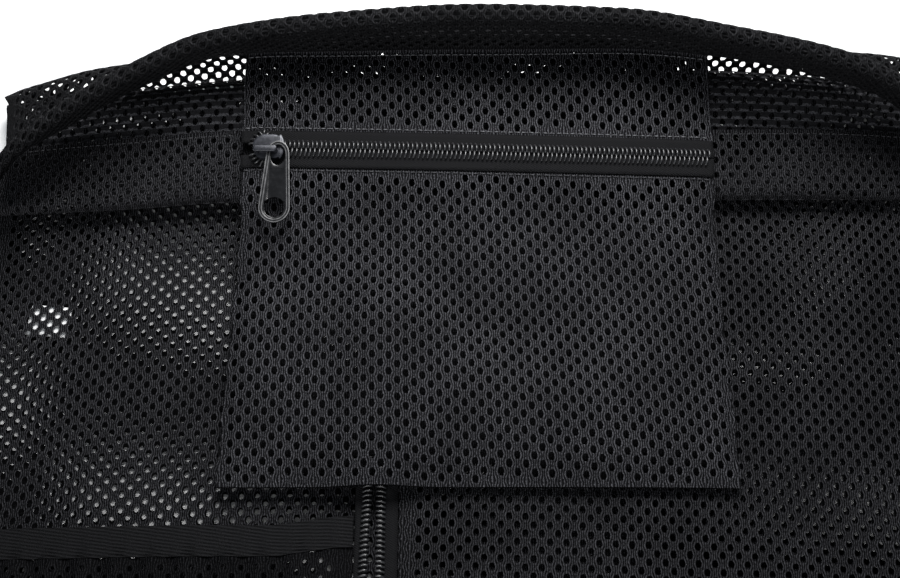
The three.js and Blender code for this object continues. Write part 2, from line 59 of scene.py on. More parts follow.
def smoothThrough(knots, values, place):  # curve through the values that never overshoots them
    place = np.asarray(place, float)
    spots = np.array([np.broadcast_to(one, place.shape) for one in knots], float)
    levels = np.array([np.broadcast_to(one, place.shape) for one in values], float)
    steps, rises = np.diff(spots, axis=0), np.diff(levels, axis=0)
    slopes = rises / steps
    before, after = np.concatenate([slopes[:1], slopes]), np.concatenate([slopes, slopes[-1:]])
    same = before * after > 0
    tangents = np.where(same, 2 * before * after / np.where(same, before + after, 1), 0)
    row = np.clip((place > spots[1:-1]).sum(0), 0, len(spots) - 2)[None]

    def take(table):
        return np.take_along_axis(table, row, 0)[0]

    step, rise = take(steps), take(rises)
    start, end = take(tangents[:-1]) * step, take(tangents[1:]) * step
    t = np.clip((place - take(spots[:-1])) / step, 0, 1)
    return take(levels[:-1]) + t * (start + t * (3 * rise - 2 * start - end + t * (start + end - 2 * rise)))


def sectionAt(table, across):
    return {key: smoothThrough(table["across"], table[key], across) for key in table if key != "across"}


def deselectAll():
    if bpy.context.mode != "OBJECT":
        bpy.ops.object.mode_set(mode="OBJECT")
    bpy.ops.object.select_all(action="DESELECT")


# the bag's form, the same as in the solids, in millimetres

clothSizes = {"wall": 1.2, "pocket": 1.0, "tape": 0.9, "gap": 0.3, "slack": 0.6}
layer = clothSizes["wall"] + clothSizes["gap"]
panelLift = layer + clothSizes["slack"]
bagBody = {"half": 167, "bottomY": -179, "floorZ": 0.6, "rise": 12, "hem": 25, "loop": 3, "hemShort": 1,
           "sidePower": 3.2, "bottomEase": 0.18, "mouthDrop": 0.45, "mouthFrom": 0.8}
seamZ = bagBody["floorZ"] + layer

backMouth = {
    "across": [-167, -156, -134, -113, -85, -44, 0, 44, 85, 116, 138, 156, 167],
    "backY": [159.5, 162, 168.5, 172, 176, 178, 178.45, 178.2, 177, 176, 175, 172.5, 170],
    "radius": [7.5, 9.9, 10.5, 10.5, 10.5, 10.5, 10.5, 10.5, 10.5, 10.5, 10.5, 9.9, 7.5],
    "rimX": [-157, -150, -133, -114, -87, -45, 0, 45, 86, 118, 137, 151, 157],
    "rimY": [111, 119, 134, 145, 155.4, 161.3, 163.2, 162.3, 155.6, 150.4, 142, 126, 118],
    "rimZ": [36, 44, 47, 50, 54.9, 58, 60, 58.9, 56.6, 51.6, 48.5, 44, 36],
    "lean": [45, 30, 18, 16, 13, 1, -4.5, 0, 9, 11, 17, 30, 45],
}
frontMouth = {
    "across": [-167, -120, -80, 0, 80, 120, 167],
    "rollY": [151.6, 148.9, 150.4, 151.8, 154.2, 153.7, 162.2],
    "radius": [5.3, 9, 9.8, 10, 9.8, 9, 5.3],
    "rimX": [-163, -118, -79.5, 0, 79.5, 118, 163],
    "rimY": [113.5, 114.7, 116, 116, 116.4, 117.8, 119],
    "rimZ": [8, 12.5, 15.5, 16.5, 16, 13.5, 8],
}
frontFolds = [
    {"start": (76, 48), "end": (122, -14), "depth": -2.4, "breadth": 13},
    {"start": (-150, 52), "end": (-92, 6), "depth": 1.6, "breadth": 15},
]
pocketForm = {"topHalf": 78, "bottomHalf": 80.8, "bottomY": 18.6, "zipY": 127.4, "tilt": 0.022, "reach": 6.2,
              "closed": 1.7, "open": 1.6, "seam": 5, "puff": 2.4, "zipFlat": 9, "looseRise": 35,
              "tautFrom": 80, "tautTo": 118, "creaseShare": 0.85, "puffPower": 4}
pocketCrease = {"start": (-76, 100), "end": (30, 66), "breadth": 11}
pocketWave = {"coarse": 0.3, "coarseLength": 2.9, "fine": 0.22, "fineLength": 1.27, "inset": 0.4, "power": 12}
pocketLay = {  # ridge over the upright zip, then places along Y from the cuff's rim
    "ridge": 4.6, "ridgeBreadth": 11, "ridgeFade": 20, "touch": -30, "lift": -13, "liftShare": 0.45, "rim": 1,
    "hemFrom": 12, "hemTo": 22, "rollPast": 1, "topBack": 1.5, "topDrop": 2.1,
}
frontZip = {"x": -31.4, "top": 76, "bottom": -160, "sliderY": 56, "open": 6, "rate": 0.0085,
            "leftEdge": -38, "rightEdge": -24.9}
clothRows = {"columns": 121, "flat": 60, "curl": 28, "rise": 16, "stand": 20, "hemBend": 16, "hemBack": 20,
             "front": 140, "roll": 32, "cuff": 30, "floor": 300, "mouth": 500, "frontWall": 900}
backDraw = {"start": 12, "foot": 8, "curl": 15, "stitch": 17, "rim": 19}  # where the width draws in
frontDraw = {"start": 15, "body": 14, "roll": 22, "rim": 26}


def foldShare(fold, x, y):
    (startX, startY), (endX, endY) = fold["start"], fold["end"]
    alongX, alongY = endX - startX, endY - startY
    share = np.clip(((x - startX) * alongX + (y - startY) * alongY) / (alongX ** 2 + alongY ** 2), 0, 1)
    away = np.hypot(x - startX - share * alongX, y - startY - share * alongY)
    return np.exp(-0.5 * (away / fold["breadth"]) ** 2)


def frontHeight(x, y):
    rollY = smoothThrough(frontMouth["across"], frontMouth["rollY"], x)
    along = (y - bagBody["bottomY"]) / (rollY - bagBody["bottomY"])
    sides = 1 - np.abs(x / bagBody["half"]) ** bagBody["sidePower"]
    mouth = 1 - bagBody["mouthDrop"] * ease(along, bagBody["mouthFrom"], 1)
    ends = ease(along, 0, bagBody["bottomEase"]) * mouth
    folds = sum(fold["depth"] * foldShare(fold, x, y) for fold in frontFolds)
    return seamZ + sides * ends * (bagBody["rise"] + folds)


def backRim(across):  # rim, stitch line and directions of the back wall's hem
    section = sectionAt(backMouth, across)
    lean = np.radians(section["lean"])
    along = np.stack([-np.sin(lean), np.cos(lean)], -1)
    side = np.stack([-np.cos(lean), -np.sin(lean)], -1)
    rim = np.stack([section["rimY"], section["rimZ"]], -1)
    turn = rim - bagBody["loop"] * (along + side)
    stitch = turn + along * (bagBody["loop"] - bagBody["hem"])
    return section, along, side, turn, stitch


def leavingAngle(centre, radius, target):
    away = target - centre
    bearing = np.arctan2(away[:, 1], away[:, 0])
    ahead = np.where(bearing < -math.pi / 2, bearing + 2 * math.pi, bearing)
    return ahead - np.arccos(radius / np.hypot(away[:, 0], away[:, 1]))


def straight(start, end, count):
    share = (np.arange(count) + 1) / count
    return start[:, None] + (end - start)[:, None] * share[None, :, None]


def arc(centre, radius, start, end, count):
    share = (np.arange(count) + 1) / count
    angle = np.asarray(start)[..., None] + (end[:, None] - np.asarray(start)[..., None]) * share
    return centre[:, None] + radius[:, None, None] * np.stack([np.cos(angle), np.sin(angle)], -1)


def rampRows(start, end, count):
    return start + (end - start) * (np.arange(count) + 1) / count


def foldedHem(turn, along, side):
    loop = bagBody["loop"]
    angle = (np.arange(clothRows["hemBend"]) + 1) / clothRows["hemBend"] * math.pi
    centre = turn + side * loop
    bend = (centre[:, None] - side[:, None] * (loop * np.cos(angle))[None, :, None]
            + along[:, None] * (loop * np.sin(angle))[None, :, None])
    foot = turn + along * (bagBody["hemShort"] + loop - bagBody["hem"]) + side * layer
    return np.concatenate([bend, straight(bend[:, -1], foot, clothRows["hemBack"])], 1)


def evenRows(points, count):  # each column of points at even steps of its own length
    length = np.concatenate([np.zeros((points.shape[0], 1)),
                             np.cumsum(np.linalg.norm(np.diff(points, axis=1), axis=2), 1)], 1)
    share = np.linspace(0, 1, count)
    grid = np.empty((count, points.shape[0], 3))
    for column, line in enumerate(points):
        at = share * length[column, -1]
        for axis in range(3):
            grid[:, column, axis] = np.interp(at, length[column], line[:, axis])
    return grid


def meanLength(points):
    return float(np.linalg.norm(np.diff(points, axis=1), axis=2).sum(1).mean())


def backWallGrids():  # the flat part, the part that turns up to the mouth, and its outer hem's stretch
    rows, draw = clothRows, backDraw
    across = np.linspace(-bagBody["half"], bagBody["half"], rows["columns"])
    section, along, side, turn, stitch = backRim(across)
    centre = np.stack([section["backY"] - section["radius"], bagBody["floorZ"] + section["radius"]], -1)
    leave = leavingAngle(centre, section["radius"], stitch)
    start = np.stack([np.full(len(across), bagBody["bottomY"]), np.full(len(across), bagBody["floorZ"])], -1)
    foot = np.stack([centre[:, 0], start[:, 1]], -1)
    flat = np.concatenate([start[:, None], straight(start, foot, rows["flat"])], 1)
    curl = arc(centre, section["radius"], np.full(len(across), -math.pi / 2), leave, rows["curl"])
    rise = straight(curl[:, -1], stitch, rows["rise"])
    stand = straight(stitch, turn, rows["stand"])
    hem = foldedHem(turn, along, side)
    path = np.concatenate([flat, curl, rise, stand, hem], 1)
    step = np.concatenate([
        np.full(flat.shape[1], draw["foot"]), rampRows(draw["foot"], draw["curl"], rows["curl"]),
        rampRows(draw["curl"], draw["stitch"], rows["rise"]),
        rampRows(draw["stitch"], draw["rim"], rows["stand"]),
        np.full(hem.shape[1], draw["rim"]),
    ])
    x = mix(across[:, None], section["rimX"][:, None], ease(step, draw["start"], draw["rim"])[None])
    points = np.stack([x, path[..., 0], path[..., 1]], -1)
    foldRow = points.shape[1] - hem.shape[1] - 1
    standing, folded = points[:, rows["flat"]:foldRow + 1], points[:, foldRow:]
    foldAt, foldLength = meanLength(standing), meanLength(folded)
    hemRows = round(rows["mouth"] * foldLength / (foldAt + foldLength))
    mouth = np.concatenate([evenRows(standing, rows["mouth"] - hemRows), evenRows(folded, hemRows + 1)[1:]])
    behindPocket = standing[np.abs(across) < pocketForm["topHalf"]]
    seamAt = foldAt * (1 - (bagBody["hem"] - bagBody["loop"]) / meanLength(behindPocket))
    return evenRows(points[:, :rows["flat"] + 1], rows["floor"]), mouth, (seamAt, foldAt)


def frontRoll(across):  # roll, rim and directions of the front wall's cuff
    section = sectionAt(frontMouth, across)
    foot = frontHeight(across, section["rollY"])
    centre = np.stack([section["rollY"], foot + section["radius"]], -1)
    turn = np.stack([section["rimY"] + bagBody["loop"], section["rimZ"]], -1)
    leave = leavingAngle(centre, section["radius"], turn)
    roll = arc(centre, section["radius"], np.full(len(across), -math.pi / 2), leave, clothRows["roll"])
    along = unit(turn - roll[:, -1])
    side = np.stack([along[:, 1], -along[:, 0]], -1)
    return section, roll, turn, along, side


def frontWallGrid():
    rows, draw = clothRows, frontDraw
    across = np.linspace(-bagBody["half"], bagBody["half"], rows["columns"])
    section, roll, turn, along, side = frontRoll(across)
    y = mix(bagBody["bottomY"], section["rollY"][:, None], np.linspace(0, 1, rows["front"])[None])
    z = frontHeight(np.broadcast_to(across[:, None], y.shape), y)
    body = np.stack([y, z], -1)
    hem = foldedHem(turn, along, side)
    path = np.concatenate([body, roll, straight(roll[:, -1], turn, rows["cuff"]), hem], 1)
    step = np.concatenate([
        np.full(rows["front"], draw["body"]), rampRows(draw["body"], draw["roll"], rows["roll"]),
        rampRows(draw["roll"], draw["rim"], rows["cuff"]), np.full(hem.shape[1], draw["rim"]),
    ])
    x = mix(across[:, None], section["rimX"][:, None], ease(step, draw["start"], draw["rim"])[None])
    return evenRows(np.stack([x, path[..., 0], path[..., 1]], -1), rows["frontWall"])


def stitchLine(x):  # Y and Z of the stitches along the back wall's hem
    return backRim(np.ravel(x))[4].reshape(np.shape(x) + (2,))


def pocketHeight(x, y):  # middle of the pocket's rear cloth, over the cuff and down on to the front
    section, lay, stitch = sectionAt(frontMouth, x), pocketLay, stitchLine(x)
    clear = clothSizes["wall"] / 2 + clothSizes["gap"] + clothSizes["pocket"] / 2
    slack, loop = clothSizes["slack"], bagBody["loop"]
    rollTop = frontHeight(x, section["rollY"]) + 2 * section["radius"]
    reach = section["rollY"] - section["rimY"]
    ridge = lay["ridge"] * np.exp(-(((x - frontZip["x"]) / lay["ridgeBreadth"]) ** 2))
    ridge = ridge * (1 - ease(y, frontZip["top"], frontZip["top"] + lay["ridgeFade"]))
    onFront = frontHeight(x, np.minimum(y, section["rimY"])) + panelLift + clear + slack + ridge
    onRim = section["rimZ"] + 2 * loop + clear + slack
    knots = [lay["touch"], lay["lift"], lay["rim"], lay["hemFrom"], lay["hemTo"], reach + lay["rollPast"],
             stitch[..., 0] - lay["topBack"] - section["rimY"]]
    values = [
        onFront, mix(onFront, onRim, lay["liftShare"]), onRim,
        mix(section["rimZ"], rollTop, lay["hemFrom"] / reach) + loop + layer / 2 + clear + slack,
        mix(section["rimZ"], rollTop, lay["hemTo"] / reach) + layer + clear + slack,
        rollTop + clear + slack, stitch[..., 1] - lay["topDrop"],
    ]
    return smoothThrough(knots, values, y - section["rimY"])


def pocketTopY(x):
    return stitchLine(x)[..., 0] - clothSizes["wall"] / 2 - 2 * clothSizes["gap"]


def zipLine(x):
    return pocketForm["zipY"] - pocketForm["tilt"] * x


def pocketHalf(y):
    share = ease(y, pocketForm["bottomY"], pocketForm["zipY"])
    return mix(pocketForm["bottomHalf"], pocketForm["topHalf"], share)


def pocketSide(share, y):  # place across the pocket, with sides that wave a little
    form = pocketWave
    coarse = form["coarse"] * np.sin(y / form["coarseLength"])
    wave = coarse + form["fine"] * np.sin(y / form["fineLength"] + 1)
    return share * (pocketHalf(y) - form["inset"] + wave * np.abs(share) ** form["power"])


def pocketFace(x, y):  # middle of the pocket's outer cloth
    x, y = np.broadcast_arrays(np.asarray(x, float), np.asarray(y, float))
    form = pocketForm
    atZip = np.exp(-(((y - zipLine(x)) / form["zipFlat"]) ** 2))
    fromSide = mix(ease(pocketHalf(y) - np.abs(x), 0, form["seam"]), 1, atZip)
    fromTop = ease(pocketTopY(x) - y, 0, 3 * form["seam"])
    fromBottom = ease(y - form["bottomY"], 0, 2 * form["seam"])
    rising = ease(y, form["bottomY"], form["bottomY"] + form["looseRise"])
    loose = rising * (1 - ease(y, form["tautFrom"], form["tautTo"])) * fromSide
    creased = 1 - form["creaseShare"] * foldShare(pocketCrease, x, y)
    puff = form["puff"] * loose * creased * (1 - (x / form["bottomHalf"]) ** form["puffPower"])
    return pocketHeight(x, y) + form["closed"] + form["open"] * fromSide * fromTop * fromBottom + puff


def gridOf(columns, rows, pointAt):
    across, along = np.meshgrid(np.linspace(0, 1, columns), np.linspace(0, 1, rows))
    x, y, z = pointAt(across, along)
    return np.stack(np.broadcast_arrays(x, y, z), -1).astype(float)


# cloth sheets: a grid of points that a flat piece is laid on

class Drape:
    def __init__(self, grid):
        self.grid = grid
        self.normal = unit(np.cross(np.gradient(grid, axis=1), np.gradient(grid, axis=0)))
        self.width = float(np.linalg.norm(np.diff(grid, axis=1), axis=2).sum(1).mean())
        self.length = float(np.linalg.norm(np.diff(grid, axis=0), axis=2).sum(0).mean())

    def at(self, table, flat):
        rows, columns = table.shape[:2]
        c = np.clip(flat[:, 0] / self.width, 0, 1) * (columns - 1)
        r = np.clip(flat[:, 1] / self.length, 0, 1) * (rows - 1)
        c0, r0 = np.minimum(c.astype(int), columns - 2), np.minimum(r.astype(int), rows - 2)
        cs, rs = (c - c0)[:, None], (r - r0)[:, None]
        low = table[r0, c0] * (1 - cs) + table[r0, c0 + 1] * cs
        high = table[r0 + 1, c0] * (1 - cs) + table[r0 + 1, c0 + 1] * cs
        return low * (1 - rs) + high * rs

    def lay(self, flat, lift):
        return self.at(self.grid, flat) + self.at(self.normal, flat) * lift[:, None]


def pieceFromArrays(name, points, faces, flat=None, strand=None):  # points and flat places in millimetres
    data = bpy.data.meshes.new(name)
    data.from_pydata((points * mm).tolist(), [], faces.tolist())
    corners = np.empty(len(data.loops), int)
    data.loops.foreach_get("vertex_index", corners)
    if flat is not None:
        layerUv = data.uv_layers.new(name="cloth")
        layerUv.data.foreach_set("uv", (flat[corners] / 10).astype(np.float32).ravel())
    if strand is not None:
        edge = data.attributes.new("strand", "FLOAT", "POINT")
        edge.data.foreach_set("value", strand.astype(np.float32))
    data.polygons.foreach_set("use_smooth", np.ones(len(data.polygons), bool))
    data.update()
    piece = bpy.data.objects.new(name, data)
    bpy.context.scene.collection.objects.link(piece)
    return piece


netMaking = {"margin": 0.3, "closedStrand": 0.12, "mergeSteps": 500, "keyStride": 10_000_000,
             "leastArea": 1e-4}


def netPattern(width, length, net):
    # one cell round each hole: rings of points from the hole's edge out to the middle of the yarns
    pitch, row, sides = net["pitch"], net["row"], net["sides"]
    rowTurn, columnTurn = (math.radians(turn) for turn in net.get("grain", (0, 0)))
    weave = np.array([[math.cos(rowTurn), math.sin(rowTurn)], [-math.sin(columnTurn), math.cos(columnTurn)]])
    middle = np.array([width, length]) / 2 + net.get("shift", (0, 0))
    reach = math.hypot(width, length) / 2 + 2 * pitch
    rows, columns = int(reach / row) + 1, int(reach / pitch) + 1
    r, c = np.meshgrid(np.arange(-rows, rows + 1), np.arange(-columns, columns + 1), indexing="ij")
    centre = np.stack([(c * pitch + (r % 2) * pitch / 2).ravel(), (r * row).ravel()], -1) @ weave + middle
    place = np.arange(sides) * 4 / sides
    quarter, share = place.astype(int), place % 1
    corner = np.array([[pitch / 2, 0], [0, row], [-pitch / 2, 0], [0, -row], [pitch / 2, 0]])
    rim = corner[quarter] * (1 - share)[:, None] + corner[quarter + 1] * share[:, None]
    angle = 2 * math.pi * np.arange(sides) / sides
    hole = np.stack([net["hole"][0] / 2 * np.cos(angle), net["hole"][1] / 2 * np.sin(angle)], -1)
    inside = ((centre[:, 0] > -pitch / 2) & (centre[:, 0] < width + pitch / 2)
              & (centre[:, 1] > -row) & (centre[:, 1] < length + row))
    centre = centre[inside]
    left, right, bottom, top = net["plain"]
    halfX, halfY = (size / 2 + netMaking["margin"] for size in net["hole"])
    isOpen = ((centre[:, 0] > left + halfX) & (centre[:, 0] < width - right - halfX)
              & (centre[:, 1] > bottom + halfY) & (centre[:, 1] < length - top - halfY))
    for half, low, high in net.get("seams", []):  # sewn through, so that no hole shows
        isOpen &= (np.abs(centre[:, 0] - width / 2) > half) | (centre[:, 1] < low) | (centre[:, 1] > high)
    low, high, drawn = net.get("doubled", (0, 0, 1))  # a hem's outer cloth, backed by its turned-in cloth
    holeSize = isOpen * np.where((centre[:, 1] > low) & (centre[:, 1] < high), drawn, 1)
    jitter = 1 + rng.normal(0, net["ragged"], (len(centre), sides))
    flats, strands, lifts = [], [], []
    for share, strand, lift in net["rings"]:
        local = hole[None] * jitter[..., None] * holeSize[:, None, None] * (1 - share) + rim[None] * share
        flats.append(local @ weave + centre[:, None])
        thread = np.where(isOpen[:, None], strand, netMaking["closedStrand"])
        strands.append(thread * np.ones((len(centre), sides)))
        lifts.append(np.where(isOpen[:, None], lift, 0) * np.ones((len(centre), sides)))
    flat = np.stack(flats, 1)
    flat[..., 0] = np.clip(flat[..., 0], 0, width)
    flat[..., 1] = np.clip(flat[..., 1], 0, length)
    cells, rings = flat.shape[:2]
    number = np.arange(cells * rings * sides).reshape(cells, rings, sides)
    inner, outer = number[:, :-1], number[:, 1:]
    innerNext, outerNext = np.roll(inner, -1, 2), np.roll(outer, -1, 2)
    faces = np.concatenate([np.stack([inner, outer, outerNext], -1).reshape(-1, 3),
                            np.stack([inner, outerNext, innerNext], -1).reshape(-1, 3)])
    flat = flat.reshape(-1, 2)
    key = np.round(flat * netMaking["mergeSteps"]).astype(np.int64)
    key = key[:, 0] * netMaking["keyStride"] + key[:, 1]
    _, first, same = np.unique(key, return_index=True, return_inverse=True)
    faces = same[faces]
    whole = (faces[:, 0] != faces[:, 1]) & (faces[:, 1] != faces[:, 2]) & (faces[:, 2] != faces[:, 0])
    faces = faces[whole]
    flat = flat[first]
    a, b, c = flat[faces[:, 0]], flat[faces[:, 1]], flat[faces[:, 2]]
    area = (b[:, 0] - a[:, 0]) * (c[:, 1] - a[:, 1]) - (b[:, 1] - a[:, 1]) * (c[:, 0] - a[:, 0])
    faces = faces[area > netMaking["leastArea"]]
    if net.get("turned"):  # face of the cloth on the under side
        faces = faces[:, ::-1]
    woven = (flat - middle) @ np.linalg.inv(weave)
    strand, lift = (np.stack(table, 1).ravel()[first] for table in (strands, lifts))
    return flat, woven, strand, lift, faces, float(area.sum() / 2)


def netSheet(name, nodes, grid, net, material):
    drape = Drape(grid)
    flat, woven, strand, lift, faces, area = netPattern(drape.width, drape.length, net)
    piece = pieceFromArrays(name, drape.lay(flat, lift), faces, woven, strand)
    piece.data.materials.append(material)
    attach(piece, "bag")
    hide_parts(*nodes)
    print(name, len(faces), "triangles, flat", round(drape.width), "x", round(drape.length), "mm")


def wovenBand(name, node, grid, settings, material):  # cloth with a front, a back and edges
    drape = Drape(grid)
    rows, columns = grid.shape[:2]
    u, v = np.meshgrid(np.linspace(0, drape.width, columns), np.linspace(0, drape.length, rows))
    flat = np.stack([u.ravel(), v.ravel()], -1)
    half = settings["thickness"] / 2
    relief = np.zeros(len(flat))
    if "relief" in settings:
        relief = settings["relief"](flat[:, 0], flat[:, 1], drape)
    points = np.concatenate([drape.lay(flat, half + relief), drape.lay(flat, np.full(len(flat), -half))])
    number = np.arange(rows * columns).reshape(rows, columns)
    a, b, c, d = number[:-1, :-1], number[:-1, 1:], number[1:, 1:], number[1:, :-1]
    top = np.stack([a, b, c, d], -1).reshape(-1, 4)
    under = top[:, ::-1] + rows * columns
    loop = np.concatenate([number[0], number[1:, -1], number[-1, -2::-1], number[-2:0:-1, 0]])
    following = np.roll(loop, -1)
    edge = np.stack([loop, loop + rows * columns, following + rows * columns, following], -1)
    piece = pieceFromArrays(name, points, np.concatenate([top, under, edge]), np.concatenate([flat, flat]))
    piece.data.materials.append(material)
    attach(piece, "bag")
    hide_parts(node)
    return piece, (drape.width * mm, drape.length * mm)


# shader node groups

def newGroup(name, inputs, outputs):
    group = bpy.data.node_groups.new(name, "ShaderNodeTree")
    for label, kind, value in inputs:
        socket = group.interface.new_socket(label, in_out="INPUT", socket_type=kind)
        if value is not None:
            socket.default_value = value
    for label, kind in outputs:
        group.interface.new_socket(label, in_out="OUTPUT", socket_type=kind)
    return group, group.nodes.new("NodeGroupInput"), group.nodes.new("NodeGroupOutput")


def mathNode(tree, operation, first, second=None, third=None):
    node = tree.nodes.new("ShaderNodeMath")
    node.operation = operation
    for socket, value in zip(node.inputs, (first, second, third)):
        if value is None:
            continue
        if isinstance(value, (int, float)):
            socket.default_value = value
        else:
            tree.links.new(value, socket)
    return node.outputs[0]


def rampNode(tree, value, low, high):  # smooth step from 0 at low to 1 at high
    node = tree.nodes.new("ShaderNodeMapRange")
    node.interpolation_type = "SMOOTHSTEP"
    tree.links.new(value, node.inputs["Value"])
    node.inputs["From Min"].default_value, node.inputs["From Max"].default_value = low, high
    return node.outputs["Result"]


yarnTone = {"fineScale": 26, "fineDetail": 2, "slowScale": 0.35, "slowDetail": 3}


def makeYarnGroup():  # fine speckle of filaments and slow change of tone over the cloth
    group, start, end = newGroup(
        "yarn tone", [("Place", "NodeSocketVector", None), ("Fineness", "NodeSocketFloat", 1.0)],
        [("Speckle", "NodeSocketFloat"), ("Drift", "NodeSocketFloat")])
    fine = group.nodes.new("ShaderNodeTexNoise")
    fine.inputs["Detail"].default_value = yarnTone["fineDetail"]
    group.links.new(start.outputs["Place"], fine.inputs["Vector"])
    scale = mathNode(group, "MULTIPLY", start.outputs["Fineness"], yarnTone["fineScale"])
    group.links.new(scale, fine.inputs["Scale"])
    slow = group.nodes.new("ShaderNodeTexNoise")
    slow.inputs["Scale"].default_value = yarnTone["slowScale"]
    slow.inputs["Detail"].default_value = yarnTone["slowDetail"]
    group.links.new(start.outputs["Place"], slow.inputs["Vector"])
    group.links.new(rampNode(group, fine.outputs["Fac"], 0.32, 0.7), end.inputs["Speckle"])
    group.links.new(rampNode(group, slow.outputs["Fac"], 0.3, 0.7), end.inputs["Drift"])
    return group


yarnGroup = makeYarnGroup()


def newMaterial(name, roughness, specular):
    material = bpy.data.materials.new(name)
    material.use_nodes = True
    tree = material.node_tree
    shader = tree.nodes["Principled BSDF"]
    shader.inputs["Roughness"].default_value = roughness
    shader.inputs["Specular IOR Level"].default_value = specular
    return material, tree, shader


def yarnNodes(tree, fineness):  # speckle and drift of the yarn, and the cloth's own X and Y
    place = tree.nodes.new("ShaderNodeUVMap")
    place.uv_map = "cloth"
    yarn = tree.nodes.new("ShaderNodeGroup")
    yarn.node_tree = yarnGroup
    yarn.inputs["Fineness"].default_value = fineness
    tree.links.new(place.outputs["UV"], yarn.inputs["Place"])
    split = tree.nodes.new("ShaderNodeSeparateXYZ")
    tree.links.new(place.outputs["UV"], split.inputs[0])
    return yarn.outputs["Speckle"], yarn.outputs["Drift"], split


def mixColour(tree, share, dark, light):
    node = tree.nodes.new("ShaderNodeMix")
    node.data_type = "RGBA"
    node.inputs["A"].default_value, node.inputs["B"].default_value = (*dark, 1), (*light, 1)
    tree.links.new(share, node.inputs["Factor"])
    return node.outputs["Result"]


def addBump(tree, shader, height, strength, distance):
    node = tree.nodes.new("ShaderNodeBump")
    node.inputs["Strength"].default_value, node.inputs["Distance"].default_value = strength, distance
    tree.links.new(height, node.inputs["Height"])
    tree.links.new(node.outputs["Normal"], shader.inputs["Normal"])


def yarnLines(tree, split, speckle, look):
    # yarns that bow round the holes, and the staggered places between holes, on the net's own coordinates
    x = mathNode(tree, "MULTIPLY", split.outputs["X"], 20 * math.pi / look["pitch"])
    y = mathNode(tree, "MULTIPLY", split.outputs["Y"], 10 * math.pi / look["row"])
    bow = mathNode(tree, "MULTIPLY", mathNode(tree, "SINE", x), mathNode(tree, "COSINE", y))
    place = mathNode(tree, "SUBTRACT", x, mathNode(tree, "MULTIPLY", bow, look["bow"]))
    frayed = mathNode(tree, "ADD", place, mathNode(tree, "MULTIPLY", speckle, look["fray"]))
    turns = mathNode(tree, "MULTIPLY", frayed, look["lines"])
    line = rampNode(tree, mathNode(tree, "COSINE", turns), 0.1, 0.95)
    stagger = mathNode(tree, "MULTIPLY", mathNode(tree, "COSINE", x), mathNode(tree, "COSINE", y))
    between = mathNode(tree, "MULTIPLY_ADD", rampNode(tree, stagger, 0.7, -0.4), 0.8, 0.2)
    return mathNode(tree, "MULTIPLY", line, mathNode(tree, "MULTIPLY_ADD", speckle, 0.75, 0.25)), between


def netMaterial(name, look):
    material, tree, shader = newMaterial(name, look["roughness"], look["specular"])
    edge = tree.nodes.new("ShaderNodeAttribute")
    edge.attribute_name = "strand"
    strand = edge.outputs["Fac"]
    speckle, drift, split = yarnNodes(tree, look["fineness"])
    ring = mathNode(tree, "MULTIPLY", rampNode(tree, strand, 0.3, 0.55), mathNode(
        tree, "SUBTRACT", 1, rampNode(tree, strand, 0.72, 0.98)))
    wave = mathNode(tree, "SINE", mathNode(tree, "MULTIPLY", split.outputs["Y"], look["barTurns"]))
    bars = mathNode(tree, "MULTIPLY", rampNode(tree, wave, 0.1, 0.9), speckle)
    behind = tree.nodes.new("ShaderNodeNewGeometry").outputs["Backfacing"]
    lines, between = yarnLines(tree, split, speckle, look)
    rings = mathNode(tree, "MULTIPLY", ring, look["ringShare"])
    face = mathNode(tree, "MULTIPLY_ADD", lines, look["lineShare"], rings)
    staggered = mathNode(tree, "MULTIPLY", bars, between)
    back = mathNode(tree, "MULTIPLY_ADD", staggered, look["barShare"], look["backShare"])
    pattern = mathNode(tree, "ADD", mathNode(tree, "MULTIPLY", face, mathNode(tree, "SUBTRACT", 1, behind)),
                       mathNode(tree, "MULTIPLY", back, behind))
    tone = mathNode(tree, "MULTIPLY_ADD", speckle, look["speckleShare"], pattern)
    change = mathNode(tree, "ADD", mathNode(tree, "MULTIPLY", drift, 0.35), 0.8)
    tone = mathNode(tree, "MULTIPLY", tone, change)
    tree.links.new(mixColour(tree, tone, look["dark"], look["light"]), shader.inputs["Base Color"])
    height = mathNode(tree, "ADD", pattern, mathNode(tree, "MULTIPLY", speckle, 0.5))
    addBump(tree, shader, height, look["bump"], 0.0003)
    return material


def ribMaterial(name, look):  # woven bands: tapes and elastic, with ribs along the band and ticks across
    material, tree, shader = newMaterial(name, look["roughness"], look["specular"])
    speckle, _, split = yarnNodes(tree, look["fineness"])
    slant = mathNode(tree, "ADD", mathNode(tree, "MULTIPLY", split.outputs["X"], look["turnsX"]),
                     mathNode(tree, "MULTIPLY", split.outputs["Y"], look["turnsY"]))
    rib = rampNode(tree, mathNode(tree, "SINE", slant), -0.8, 0.9)
    tone = mathNode(tree, "ADD", mathNode(tree, "MULTIPLY", rib, look["ribShare"]),
                    mathNode(tree, "MULTIPLY", speckle, look["speckleShare"]))
    tree.links.new(mixColour(tree, tone, look["dark"], look["light"]), shader.inputs["Base Color"])
    addBump(tree, shader, mathNode(tree, "ADD", rib, speckle), look["bump"], 0.0002)
    return material


